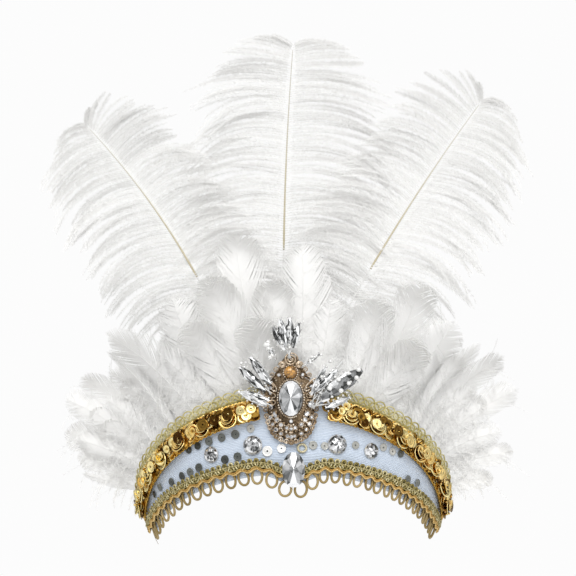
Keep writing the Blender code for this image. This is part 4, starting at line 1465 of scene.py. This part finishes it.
        # small round stones and beads in the lower third and at the shoulders
        across, up, size = np.array(BROOCH_STONES).T
        seat = brooch_seats(across, up, FACE_OFF + 3.5)
        tones = random.uniform(0.35, 1.0, (len(size), len(gem[1])))
        stamp(shape, gem, seat, size, tones, 1, False)
        spot = random.uniform(0.0, math.tau, BROOCH_BEADS)
        reach = random.uniform(0.62, 0.93, BROOCH_BEADS)
        across, up = brooch_edge(spot, reach)
        seat = brooch_seats(across, up, FACE_OFF + random.uniform(3.0, 3.8, BROOCH_BEADS))
        size = random.uniform(0.35, 0.6, BROOCH_BEADS)
        stamp(shape, ball_form(1), seat, size, random.uniform(0.2, 1.0, BROOCH_BEADS))
        finishes = ["old_bronze", "clear_crystal"]
        shape.build("wire_brooch", finishes, ["brooch_plate"])
        self.stones(stone_up, amber_up)
        return {"FINISHED"}

    def stones(self, stone_up, amber_up):
        """The brooch's oval stone and its round amber one."""
        place = (BROOCH_SHIFT, BROOCH_RISE + stone_up, STONE_OFF)
        build_oval("brooch_stone_cut", "brooch_stone", place, STONE_HALF_WIDTH, STONE_HALF_HEIGHT,
                   STONE_DEPTH, (0.50, 0.50), 71)
        random = np.random.default_rng(79)
        shape = Shape()
        levels = ((0.85, -0.9), (1.0, 0.0), (1.0, 0.30), (0.86, 0.62), (0.55, 0.88), (0.2, 1.0))
        form = cut_form(levels, 16)
        seat = axes_at(BROOCH_SHIFT, BROOCH_RISE + amber_up, STONE_OFF)
        tones = random.uniform(0.0, 0.9, (1, len(form[1])))
        stamp(shape, form, seat, AMBER_RADIUS, tones, 0, False)
        shape.build("amber_stone", ["amber_glass"], ["brooch_amber"])


def build_oval(name, node_name, place, half_width, half_height, depth, kites, seed):
    """An oval stone cut in long facets that meet at its middle."""
    random = np.random.default_rng(seed)
    levels = ((0.93, -0.6), (1.0, 0.22 * depth), (0.78, 0.55 * depth), (0.02, depth))
    form = cut_form(levels, 16, half_width, half_height)
    tones = painted_facet_reflections(form, random, half_width, half_height, *kites)
    shape = Shape()
    stamp(shape, form, axes_at(*place), 1.0, tones[None], 0, False)
    shape.build(name, ["large_crystal"], [node_name])


class HEADBAND_OT_jewel(bpy.types.Operator):
    """Builds the oval stone over the braid's point"""

    bl_idname = "headband.jewel"
    bl_label = "Point jewel"

    def execute(self, context):
        depth = STONE_DEPTH * JEWEL_HALF_WIDTH / STONE_HALF_WIDTH
        rise = -PEAK_DROP + BRAID_WIDTH / 3.0
        build_oval("point_jewel_cut", "point_jewel", (0.0, rise, JEWEL_OFF), JEWEL_HALF_WIDTH,
                   JEWEL_HALF_HEIGHT, depth, (0.26, 0.55), 73)
        return {"FINISHED"}


def spray_seat(foot_across, foot_up, heading, reach, beside, off):
    """A place with axes on a spray, told along its heading and beside it."""
    turn = math.radians(heading)
    across = foot_across * BROOCH_HALF_WIDTH + reach * math.sin(turn) + beside * math.cos(turn)
    up = foot_up * BROOCH_HALF_HEIGHT + reach * math.cos(turn) - beside * math.sin(turn)
    origin, right, upright, out = brooch_seats(across, up, off)
    pointing = unit(upright * math.cos(turn) + right * math.sin(turn))
    return origin, unit(np.cross(pointing, out)), pointing, out


# Petals of each spray: heading, reach of the middle, place beside, half length, half width,
# lift, dark
PETALS = {
    "spray_top": (
        (-24.0, 11.0, -1.4, 8.0, 2.5, 1.0, 0.6),
        (-12.0, 13.0, -0.6, 8.6, 2.7, 2.2, 0.75),
        (0.0, 13.2, 0.4, 8.2, 2.6, 1.5, 0.6),
        (13.0, 11.6, 1.2, 7.8, 2.4, 0.6, 0.75),
    ),
    "spray_left": (
        (-41.0, 12.0, -2.2, 11.0, 2.9, 1.0, 0.6),
        (-32.0, 12.6, 2.2, 10.6, 2.9, 1.8, 0.75),
    ),
    "spray_left_low": (
        (-57.0, 10.0, -1.6, 9.8, 2.2, 1.0, 0.1),
        (-67.0, 9.4, 1.8, 9.2, 2.2, 1.5, 0.2),
    ),
    "spray_right_outer": (
        (49.0, 20.5, 0.0, 15.5, 4.8, 2.2, 0.90),
        (41.0, 15.4, -4.4, 9.6, 2.2, 0.8, 0.3),
        (58.0, 12.4, 4.6, 8.6, 2.0, 0.8, 0.3),
    ),
    "spray_right_thin": ((52.0, 6.0, 0.0, 5.4, 1.2, 0.4, 0.3),),
    "spray_right_inner": (
        (24.0, 11.0, -1.6, 9.8, 2.1, 0.6, 0.35),
        (31.0, 11.8, 2.0, 9.4, 2.0, 0.9, 0.1),
    ),
    "bead_cluster": ((-28.0, 4.0, 0.0, 3.8, 1.6, 0.5, 0.2),),
}
PETAL_CUT = ((0.9, -0.5), (1.0, 0.0), (0.72, 0.6), (0.30, 1.1), (0.02, 1.15))
DARK_LEAF = "spray_right_outer"

# Number and size of the loose beads, where a spray has more than the usual few
LOOSE_BEADS = {
    "spray_right_thin": (8, 0.9),
    "spray_right_inner": (16, 1.2),
    "bead_cluster": (8, 1.5),
}

# Pearls: reach along the dark leaf and place beside its middle
PEARLS = (
    (13.0, -2.2),
    (17.5, 2.6),
    (20.5, -3.0),
    (24.0, 2.0),
    (27.5, -2.4),
    (30.0, 2.2),
    (34.0, -0.6),
)


class HEADBAND_OT_sprays(bpy.types.Operator):
    """Builds the pointed stones and beads that stand out round the brooch"""

    bl_idname = "headband.sprays"
    bl_label = "Crystal sprays"

    def execute(self, context):
        wire = mm(context.scene.headband_trims.wire)
        bead = ball_form(2)
        for number, row in enumerate(SPRAYS):
            name, *foot, heading, length, half_width, level = row
            random = np.random.default_rng(80 + number)
            shape = Shape()
            base = SPRAY_OFF + level * (SPRAY_DEPTH + CLEARANCE)
            for way, reach, beside, half_long, half_wide, lift, dark in PETALS[name]:
                off = base + lift * 0.6
                form = cut_form(PETAL_CUT, 8, half_wide, half_long, 0.40)
                odds = (0.40 - dark / 3.0, 0.2, 0.25, 0.15 + dark / 3.0)
                tones = random.choice((1.0, 0.7, 0.4, 0.05), len(form[1]), p=odds)
                # the dark leaf has a black vein, and other dark petals have dark rims
                streaked = dark > 0.8
                spread = np.abs(form[0][form[1]].mean(axis=1)[:, 0])
                middle = spread < (0.55 if streaked else 0.42) * half_wide
                vein, flank = middle & streaked, ~middle & streaked
                rim = ~middle & (dark > 0.55) & (not streaked)
                tones[vein] = random.uniform(0.0, 0.15, int(vein.sum()))
                tones[flank] = random.choice((0.05, 0.3, 0.9), int(flank.sum()))
                tones[rim] = random.choice((0.0, 0.15, 0.9), int(rim.sum()), p=(0.45, 0.25, 0.30))
                seat = spray_seat(*foot, way, reach, beside, off)
                stamp(shape, form, seat, 1.0, tones[None], 0, False)
                # small beads down both edges of each petal
                count = max(4, int(half_long * 0.7))
                for edge in (-1.0, 1.0):
                    for step in np.linspace(-0.85, 0.95, count):
                        swell = half_wide * (1.0 - step * step) ** 0.5 + 0.35
                        place = reach + step * half_long, beside + edge * swell
                        spot = spray_seat(*foot, way, *place, off)
                        size = random.uniform(0.5, 0.8) if streaked else random.uniform(0.36, 0.6)
                        stamp(shape, bead, spot, size, random.uniform(0.5, 1.0), 1)
            # wires from the foot to the petals
            for way, reach, beside, *_ in PETALS[name]:
                stops = []
                for step in np.linspace(-2.0, reach, 6):
                    stop = spray_seat(*foot, way, step, beside * step / reach, base + 0.2)
                    stops.append(stop[0][0])
                tube(shape, stops, wire, (0.0, -1.0, 0.3), 5, tone=0.5, finish=1)
            count, size = LOOSE_BEADS.get(name, (4, 0.9))
            for _ in range(count):
                reach = random.uniform(0.1, 1.05) * length * SPRAY_LENGTH
                beside = random.uniform(-0.6, 0.6) * half_width * SPRAY_LENGTH
                spot = spray_seat(*foot, heading, reach, beside, base + random.uniform(1.0, 1.8))
                scale = size * random.uniform(0.75, 1.1)
                stamp(shape, bead, spot, scale, random.uniform(0.6, 1.0), 1)
            for place, row in enumerate(PEARLS if name == DARK_LEAF else ()):
                spot = spray_seat(*foot, heading, *row, base + 2.9)
                stamp(shape, bead, spot, random.uniform(1.25, 1.5), 1.0 - 0.02 * place, 1)
            shape.build(name + "_stones", ["petal_crystal", "silver_bead"], [name])
        return {"FINISHED"}


def field_seats(share, height, lift=0.0):
    """Places with axes on the bare satin, by share of the half arc and share of the height."""
    along = share * HALF_ARC
    return axes_at(along, field_rise(along, height), FACE_OFF + lift)


# Levels of the round crystals and of the rims round them, as radius and height
ROUND_CUT = ((0.92, 0.0), (1.02, 0.18), (0.80, 0.42), (0.46, 0.58))
ROUND_RIM = ((0.95, 0.10), (1.0, 0.16), (1.06, 0.06), (1.04, 0.0), (0.94, 0.0))


class HEADBAND_OT_sewn_stones(bpy.types.Operator):
    """Builds the crystals, sequins and ring that are sewn to the satin"""

    bl_idname = "headband.sewn_stones"
    bl_label = "Sewn stones and sequins"

    def execute(self, context):
        form, rim = cut_form(ROUND_CUT, 10), turned_form(ROUND_RIM, 24)
        odds = (0.25, 0.25, 0.2, 0.1, 0.2)
        for number, (name, share, height, size) in enumerate(CRYSTALS):
            random = np.random.default_rng(101 + number)
            radius = CRYSTAL_RADIUS * size * CRYSTAL_SETTING
            seat = field_seats(share, height)
            shape = Shape()
            tones = random.choice((0.02, 0.15, 0.35, 0.7, 1.0), len(form[1]), p=odds)
            # painted reflection: a bright crescent of facets low on each crystal, over facets drawn
            # at random from dark to bright
            centre = form[0][form[1]].mean(axis=1)
            lit_crescent = (centre[:, 0] * 0.5 + centre[:, 1]) < -0.62
            tones[lit_crescent] = random.uniform(0.9, 1.0, int(lit_crescent.sum()))
            stamp(shape, form, seat, radius, tones[None], 0, False)
            stamp(shape, rim, seat, radius, 0.45, 1)
            shape.build(name + "_cut", ["clear_crystal", "silver_bead"], [name])
        form, knot = cup_form(FLAT_TOP, 18), ball_form(1)
        random = np.random.default_rng(113)
        for kind, rows in (("white", WHITE_SEQUINS), ("grey", GREY_SEQUINS)):
            for number, (share, height, size, *tone) in enumerate(rows, 1):
                tone = tone[0] if tone else random.uniform(0.05, 0.5)
                seat = field_seats(share, height, SEQUIN_LIFT)
                shape = Shape()
                stamp(shape, form, tipped(seat, random, 0.10), SEQUIN_RADIUS * size, tone)
                stamp(shape, knot, seat, KNOT_SIZE, 0.0, 1)
                name = f"sequin_{kind}_{number:02d}"
                finishes = [kind + "_sequin", "grey_sequin"]
                shape.build(name + "_cup", finishes, [name])
        shape = Shape()
        share, height, size = np.array(END_SEQUINS).T
        seat = tipped(field_seats(share, height, SEQUIN_LIFT), random, 0.10)
        stamp(shape, form, seat, SEQUIN_RADIUS * size, random.uniform(0.2, 0.8, len(size)))
        shape.build("end_sequins", ["grey_sequin"])
        shape = Shape()
        turn = np.linspace(0.0, math.tau, 28, endpoint=False)
        along = EYELET_RADIUS * 2.0 + EYELET_RADIUS * np.sin(turn)
        rise = field_rise(0.0, 0.4) + EYELET_RADIUS * np.cos(turn)
        band_tube(shape, along, rise, FACE_OFF + EYELET_WIRE, EYELET_WIRE * 1.3, 8, True, 0.5)
        shape.build("gold_ring", ["pale_gold"], ["sequin_ring"])
        return {"FINISHED"}


def add_strips(shape, edges, tones):
    """Flat strands through both their edges, which are (strands, steps, 2, 3)."""
    strands, steps = edges.shape[:2]
    step = np.arange(steps - 1)
    faces = np.stack([2 * step, 2 * step + 2, 2 * step + 3, 2 * step + 1], axis=-1)
    numbers = faces[None] + (2 * steps * np.arange(strands))[:, None, None]
    shape.add(edges, numbers.reshape(-1, 4), np.repeat(tones, steps - 1))


def grown_paths(middle, start, long, steps, heading_at, depth_at):
    """Paths of barbs that set out from the quill, by their heading and depth along the way."""
    paths = np.zeros((len(long), steps, 3))
    across, height = middle[:, 0].copy(), middle[:, 1].copy()
    for step in range(steps):
        travel = step / (steps - 1)
        place = in_fan(across, height, start)
        place[:, 1] += depth_at(travel)
        paths[:, step] = place
        here = heading_at(travel)
        across = across + np.sin(here) * long / (steps - 1)
        height = height + np.cos(here) * long / (steps - 1)
    return paths


def barbules(shape, paths, number, length, random, tones):
    """Fine spikes that stand from both sides of each barb, as short single faces."""
    strands, steps = paths.shape[:2]
    place = np.sort(random.uniform(0.04, 1.0, (strands, number)), axis=1) * (steps - 1)
    index = np.minimum(place.astype(int), steps - 2)
    share = (place - index)[..., None]
    row = np.arange(strands)[:, None]
    base = paths[row, index] * (1.0 - share) + paths[row, index + 1] * share
    way = unit(paths[row, index + 1] - paths[row, index])
    side = unit(np.cross(way, (0.0, -1.0, 0.0))) * random.choice((-1.0, 1.0), (strands, number, 1))
    lift = np.cross(way, side) * random.normal(0.0, 0.55, (strands, number, 1))
    open_angle = np.radians(random.uniform(28.0, 62.0, (strands, number, 1)))
    heading = unit(way * np.cos(open_angle) + unit(side + lift) * np.sin(open_angle))
    travel = (place / (steps - 1))[..., None]
    grown = (0.6 + 0.55 * travel) * (1.0 - 0.8 * travel ** 5)
    tip = base + heading * length * grown * random.uniform(0.55, 1.1, (strands, number, 1))
    foot = way * BARBULE_HALF_WIDTH
    points = np.stack([base - foot, base + foot, tip], axis=2)
    faces = np.arange(strands * number * 3).reshape(-1, 3)
    shape.add(points, faces, np.repeat(tones, number))


def root_place(along):
    """Where a quill is fixed: inside the band, a little below its upper edge."""
    across, _, height = on_band(along, top_rise(along) - ROOT_DEPTH, 0.0)
    return across, height


def in_fan(across, height, start):
    """World place of a point of a layer of the fan."""
    depth = fan_depth(across, height) + start * fullness(across, height)
    return np.stack([across, depth, height], axis=-1)


def rolled(share, length, radius, early):
    """Share of the quill and distance forward of places on a feather whose tip rolls over.

    Places at the sides start to roll earlier, so the fold is an arch.
    """
    size = abs(radius)
    travel = share * length + early
    turn = np.maximum(0.0, travel - (length - size)) / size
    reached = np.where(turn > 0.0, length - size + size * np.sin(turn), travel)
    return (reached - early) / length, radius * (1.0 - np.cos(turn))


def add_vane(shape, quill, outline, half_width, radius, turned, barbs, random):
    """A body feather's two webs of barbs laid edge to edge, with a few splits and a rolled tip."""
    root, tip, bend, start = quill
    length = math.hypot(tip[0] - root[0], tip[1] - root[1])
    whole = 1.0 + (turned - 1.0) * abs(radius) / length
    travel = np.linspace(0.0, 1.0, 10)
    level = random.uniform(0.70, 0.92)
    for side in (-1.0, 1.0):
        starts = np.linspace(0.06, 0.985, barbs)
        lean = np.zeros(barbs)
        for split in random.integers(8, barbs - 4, 6):
            lean[split:] += random.uniform(-0.07, 0.07)
        lean = lean - lean.mean()
        ends = 1.0 - 0.8 * (1.0 - starts) ** 1.5
        reach = half_width * read_curve(outline, ends) * (1.0 + 1.5 * lean)
        ends = ends + random.uniform(-0.012, 0.012, barbs) + lean * 0.25
        share = (starts[:, None] + (ends - starts)[:, None] * travel ** 1.25) * whole
        wide = side * (reach * random.uniform(0.95, 1.03, barbs))[:, None] * travel ** 0.9
        uneven = random.normal(0.0, 0.7, barbs)[:, None]
        spacing = (starts[1] - starts[0]) * 0.62 * (1.0 - 0.5 * travel ** 3)
        edges = []
        for edge, shade in ((-spacing, 0.03), (spacing, -0.03)):
            early = 0.6 * wide ** 2 / half_width + uneven
            reached, forward = rolled(share + edge, length, radius, early)
            middle, heading = quill_line(root, tip, bend, reached)
            across = middle[..., 0] + wide * heading[..., 1]
            height = middle[..., 1] - wide * heading[..., 0]
            place = in_fan(across, height, start)
            hump = 0.2 * half_width * (np.abs(wide) / half_width) ** 2 * np.sign(radius)
            place[..., 1] += FEATHER_THICKNESS / 2.0 - forward - hump + shade
            place[..., 1] += (lean * 9.0)[:, None] * travel
            edges.append(place)
        # painted shade: each barb is coloured darker the nearer it leaves the root, where the
        # feathers crowd by the band; its tone also shifts with each split's lean and at random
        tones = level - 0.65 * (1.0 - starts) ** 1.4 + random.normal(0.0, 0.03, barbs)
        add_strips(shape, np.stack(edges, axis=2), np.clip(tones + lean * 1.2, 0.0, 1.0))


def add_quill(shape, root, tip, bend, start, radius, proud, finish, span=(0.0, 0.985)):
    """The tapering quill down a feather's middle."""
    share = np.linspace(*span, 40)
    middle, _ = quill_line(root, tip, bend, share)
    place = in_fan(middle[:, 0], middle[:, 1], start)
    place[:, 1] += proud
    thin = radius * (1.0 - 0.8 * share)
    tone = 0.2 + 0.75 * share[:-1] ** 1.5
    tube(shape, place, thin, (0.0, -1.0, 0.0), 7, tone=tone, finish=finish)


DOWN_EDGE = np.array((0.09, 0.0, 0.0))


def add_down(shape, quill, half_width, spread, count, random):
    """Soft loose barbs that stand from a stretch of a body feather's quill."""
    root, tip, bend, start = quill
    starts = random.uniform(*spread, count)
    side = random.choice((-1.0, 1.0), count)
    middle, heading = quill_line(root, tip, bend, starts)
    angle = np.arctan2(heading[:, 0], heading[:, 1])
    angle = angle + side * np.radians(random.uniform(18.0, 75.0, count))
    long = random.uniform(14.0, 30.0, count) * (0.6 + 0.4 * half_width / FEATHER_HALF_WIDTH)
    lift = np.clip(random.normal(0.0, 0.18, count), -0.35, 0.15)
    turning = side * np.radians(random.uniform(10.0, 60.0, count))
    paths = grown_paths(
        middle, start, long, 9,
        lambda travel: angle + turning * travel,
        lambda travel: lift * long * travel,
    )
    tones = random.uniform(0.45, 0.75, count)
    add_strips(shape, np.stack([paths - DOWN_EDGE, paths + DOWN_EDGE], axis=2), tones)
    barbules(shape, paths, 44, 2.6, random, tones)


# Smaller feathers beside each body feather: shift along the band, turn in degrees, length share,
# width share, depth
COMPANIONS = (
    (-5.0, -11.0, 0.80, 0.85, 0.9),
    (5.5, 9.0, 0.72, 0.90, -0.7),
)


class HEADBAND_OT_feathers(bpy.types.Operator):
    """Builds the body feathers that stand along the band"""

    bl_idname = "headband.feathers"
    bl_label = "Body feathers"

    def execute(self, context):
        sizes = context.scene.headband_feathers
        for number, row in enumerate(BODY_FEATHERS):
            name, along, across, height, bend, share, outline, layer, radius, turned = row
            random = np.random.default_rng(200 + number)
            half_width = share * FEATHER_HALF_WIDTH
            root = root_place(along * HALF_ARC)
            tip = np.array((across * FAN_HALF_WIDTH, height * FAN_HEIGHT))
            blades = [((root, tip, bend, layer * LAYER_PITCH), half_width)]
            for shift, turn, long, wide, depth in COMPANIONS if share > 0.4 else ():
                foot = np.array(root_place(along * HALF_ARC + shift))
                turn = math.radians(turn + random.uniform(-3.0, 3.0))
                run = (tip - root) * long * random.uniform(0.94, 1.04)
                end = foot + (run[0] * math.cos(turn) + run[1] * math.sin(turn),
                              run[1] * math.cos(turn) - run[0] * math.sin(turn))
                quill = (foot, end, bend + random.uniform(-0.08, 0.08), layer * LAYER_PITCH + depth)
                blades.append((quill, half_width * wide))
            shape = Shape()
            for quill, wide in blades:
                bow = radius * random.uniform(0.85, 1.15)
                add_vane(shape, quill, outline, wide, bow, turned, sizes.vane_barbs, random)
                add_quill(shape, *quill, 0.3, FEATHER_THICKNESS / 2.0 - 0.2, 0)
                add_down(shape, quill, wide, (0.02, 0.5), sizes.down_barbs, random)
                add_down(shape, quill, wide, (0.4, 0.85), sizes.down_barbs // 4, random)
            shape.build(name + "_vane", ["feather_vane"], [name])
        return {"FINISHED"}


class HEADBAND_OT_plumes(bpy.types.Operator):
    """Builds the three tall plumes of drooping barbs"""

    bl_idname = "headband.plumes"
    bl_label = "Ostrich plumes"

    def execute(self, context):
        sizes = context.scene.headband_feathers
        for number, row in enumerate(PLUMES):
            name, along, across, height, bend, *halves, layer = row[:8]
            random = np.random.default_rng(300 + number)
            root = root_place(along * HALF_ARC)
            tip = np.array((across * FAN_HALF_WIDTH, height * FAN_HEIGHT))
            start = BODY_LAYERS * LAYER_PITCH + layer * PLUME_PITCH + PLUME_THICKNESS / 2.0
            quill = (root, tip, bend, start)
            shape = Shape()
            # the quill is white with down up to where it stands bare before the barbs
            add_quill(shape, *quill, mm(sizes.quill) * 0.8, 0.8, 0, (0.0, 0.5))
            bare = smooth_step(np.linspace(0.0, 10.0, 40))
            add_quill(shape, *quill, mm(sizes.quill), 0.8 - 2.0 * bare, 1, (0.44, 0.985))
            for side, half, leave, end in zip((-1.0, 1.0), halves, row[8:10], row[10:12]):
                half_width = half * PLUME_HALF_WIDTH
                paths, tones = plume_barbs(
                    quill, side, half_width, leave, end, row[12], sizes.barbs, random
                )
                way = unit(np.gradient(paths, axis=1))
                flat = unit(np.cross(way, (0.0, -1.0, 0.0)))
                taper = (1.0 - 0.6 * np.linspace(0.0, 1.0, paths.shape[1]))[None, :, None]
                edge = flat * mm(sizes.barb_width) / 2.0 * taper
                add_strips(shape, np.stack([paths - edge, paths + edge], axis=2), tones)
                barbules(shape, paths, 2 * sizes.barbules, mm(sizes.barbule), random, tones)
            shape.build(name + "_barbs", ["plume_barb", "ivory_quill"], [name])
        return {"FINISHED"}


def plume_barbs(quill, side, half_width, leave, end, crest, count, random):
    """Paths and tones of the barbs on one side of a plume, gathered in drooping locks."""
    root, tip, bend, start = quill
    steps = 15
    starts = 0.17 + 0.828 * np.linspace(0.0, 1.0, count) ** 0.92
    middle, heading = quill_line(root, tip, bend, starts)
    lean = np.degrees(np.arctan2(heading[:, 0], heading[:, 1]))
    near_tip = smooth_step((starts - 0.95) / 0.05)
    angle = lean + side * (leave * (1.0 - crest * near_tip) + random.normal(0.0, 2.0, count))
    # each lock of a few barbs has its own length, droop and depth
    lock = np.cumsum(random.random(count) < 0.44)
    locks = lock[-1] + 1
    long = half_width * read_curve(PLUME_OUTLINE, starts) * 1.16
    long = long * random.uniform(0.88, 1.08, locks)[lock] * random.uniform(0.80, 1.06, count)
    droop = random.normal(0.94, 0.10, locks)[lock] + random.normal(0.0, 0.08, count)
    droop = droop * (1.0 - 0.6 * smooth_step((starts - 0.78) / 0.2) * (leave > 65.0))
    lift = random.normal(0.0, 0.07, locks)[lock] + random.normal(0.0, 0.03, count)
    lift = np.clip(lift, -0.14, 0.06)
    paths = grown_paths(
        middle, start, long, steps,
        lambda travel: np.radians(angle + (end - angle) * droop * travel ** 1.15),
        lambda travel: long * (lift * travel - 0.10 * travel ** 2),
    )
    # barbs of one lock draw together towards their ends
    gather = (0.45 * np.linspace(0.0, 1.0, steps) ** 3)[None, :, None]
    totals = np.zeros((locks, steps, 3))
    np.add.at(totals, lock, paths)
    centres = (totals / np.maximum(np.bincount(lock), 1)[:, None, None])[lock]
    paths = paths + (centres - paths) * gather
    # painted shade: every other lock is coloured darker and the locks between lighter, so lines of
    # shade run between them, over each lock's own random tone
    shade_stripe = np.where(lock % 2 == 0, 0.14, -0.14)
    tones = random.normal(0.50, 0.06, locks)[lock] + shade_stripe + random.normal(0.0, 0.08, count)
    return paths, np.clip(tones, 0.0, 1.0)


# The picture's own view: camera distance, height and side, and lens for a 36 mm frame
CAMERA_PLACE = (-0.0031, -1.5, 0.10426)
CAMERA_LENS = 36.0 * 1.5 / 0.32256
FLOOR_DROP = 0.30
FLOOR_HALF = 2.0
SKY_SEEN = 0.975
SKY_LIGHT = 0.62


class HEADBAND_OT_stage(bpy.types.Operator):
    """Sets the camera, the pale floor and the soft lights"""

    bl_idname = "headband.stage"
    bl_label = "Stage"

    def execute(self, context):
        scene = context.scene
        camera = bpy.data.cameras.new("camera")
        camera.lens = CAMERA_LENS
        camera.sensor_width = 36.0
        camera.clip_end = 100.0
        eye = bpy.data.objects.new("camera", camera)
        eye.location = CAMERA_PLACE
        eye.rotation_euler = (math.radians(90.0), 0.0, 0.0)
        scene.collection.objects.link(eye)
        scene.camera = eye
        scene.view_settings.view_transform = "Standard"
        self.floor(scene)
        self.sky(scene)
        # name, strength, spread, direction that it shines in
        suns = (
            ("key", 1.3, 35.0, (0.12, 0.9, -0.85)),
            ("fill", 0.5, 60.0, (-0.7, 0.9, -0.3)),
            ("back", 0.5, 50.0, (0.1, -1.0, -0.6)),
        )
        for name, strength, spread, way in suns:
            light = bpy.data.lights.new(name, "SUN")
            light.energy = strength
            light.angle = math.radians(spread)
            lamp = bpy.data.objects.new(name, light)
            lamp.rotation_euler = Vector(way).to_track_quat("-Z", "Y").to_euler()
            scene.collection.objects.link(lamp)
        return {"FINISHED"}

    def floor(self, scene):
        """A wide pale floor, well below the headband, which is held up as a head holds it."""
        made = bmesh.new()
        bmesh.ops.create_grid(made, x_segments=2, y_segments=2, size=FLOOR_HALF)
        mesh = bpy.data.meshes.new("floor")
        made.to_mesh(mesh)
        made.free()
        material, tree, shader = new_material("pale_floor")
        place = node(tree, "ShaderNodeTexCoord")
        noise = node(tree, "ShaderNodeTexNoise", {"Scale": 3.0, "Detail": 4.0})
        tree.links.new(place.outputs["Object"], noise.inputs["Vector"])
        colour = mixed(tree, noise.outputs[0], (0.80, 0.80, 0.80, 1.0), (0.82, 0.82, 0.82, 1.0))
        tree.links.new(colour, shader.inputs["Base Color"])
        shader.inputs["Roughness"].default_value = 0.9
        shader.inputs["Specular IOR Level"].default_value = 0.0
        mesh.materials.append(material)
        floor = bpy.data.objects.new("floor", mesh)
        floor.location = (0.0, 0.0, CAD_BOX[0][2] - FLOOR_DROP)
        scene.collection.objects.link(floor)

    def sky(self, scene):
        """Soft surroundings with brighter and darker places for the gloss to catch."""
        world = bpy.data.worlds.new("soft_room")
        world.use_nodes = True
        tree = world.node_tree
        tree.nodes.clear()
        place = node(tree, "ShaderNodeTexCoord")
        patches = node(tree, "ShaderNodeTexNoise", {"Scale": 2.6, "Detail": 1.0})
        tree.links.new(place.outputs["Generated"], patches.inputs["Vector"])
        spread = node(tree, "ShaderNodeMapRange", {
            "From Min": 0.36, "From Max": 0.64, "To Min": 0.08, "To Max": 2.0 * SKY_LIGHT,
        })
        tree.links.new(patches.outputs[0], spread.inputs["Value"])
        white = (1.0, 1.0, 1.0, 1.0)
        room = node(tree, "ShaderNodeBackground", {"Color": white})
        tree.links.new(spread.outputs[0], room.inputs["Strength"])
        seen = node(tree, "ShaderNodeBackground", {"Color": white, "Strength": SKY_SEEN})
        path = node(tree, "ShaderNodeLightPath")
        mix = node(tree, "ShaderNodeMixShader")
        tree.links.new(path.outputs["Is Camera Ray"], mix.inputs[0])
        tree.links.new(room.outputs[0], mix.inputs[1])
        tree.links.new(seen.outputs[0], mix.inputs[2])
        made = node(tree, "ShaderNodeOutputWorld")
        tree.links.new(mix.outputs[0], made.inputs["Surface"])
        scene.world = world


BUILDERS = (
    HEADBAND_OT_stage,
    HEADBAND_OT_band,
    HEADBAND_OT_braid,
    HEADBAND_OT_loops,
    HEADBAND_OT_gold_trim,
    HEADBAND_OT_lace,
    HEADBAND_OT_brooch,
    HEADBAND_OT_jewel,
    HEADBAND_OT_sprays,
    HEADBAND_OT_sewn_stones,
    HEADBAND_OT_feathers,
    HEADBAND_OT_plumes,
)


class HEADBAND_PT_panel(bpy.types.Panel):
    """Lists the headband's pieces with their sizes and colours"""

    bl_label = "Feather headband"
    bl_idname = "HEADBAND_PT_panel"
    bl_space_type = "VIEW_3D"
    bl_region_type = "UI"
    bl_category = "Headband"

    def draw(self, context):
        layout, scene = self.layout, context.scene
        for group in (scene.headband_trims, scene.headband_feathers, scene.headband_colours):
            box = layout.box()
            for name in group.__annotations__:
                box.prop(group, name)
        for builder in BUILDERS:
            layout.operator(builder.bl_idname)


CLASSES = (HeadbandTrimSizes, HeadbandFeatherSizes, HeadbandColours, *BUILDERS, HEADBAND_PT_panel)


def register():
    """Adds the classes, and their properties on the scene."""
    for made in CLASSES:
        bpy.utils.register_class(made)
    bpy.types.Scene.headband_trims = PointerProperty(type=HeadbandTrimSizes)
    bpy.types.Scene.headband_feathers = PointerProperty(type=HeadbandFeatherSizes)
    bpy.types.Scene.headband_colours = PointerProperty(type=HeadbandColours)


def unregister():
    """Takes the classes and their properties away again."""
    del bpy.types.Scene.headband_colours
    del bpy.types.Scene.headband_feathers
    del bpy.types.Scene.headband_trims
    for made in reversed(CLASSES):
        bpy.utils.unregister_class(made)


def main():
    """Builds every piece."""
    register()
    for builder in BUILDERS:
        group, name = builder.bl_idname.split(".")
        getattr(getattr(bpy.ops, group), name)()


if __name__ == "__main__":
    main()
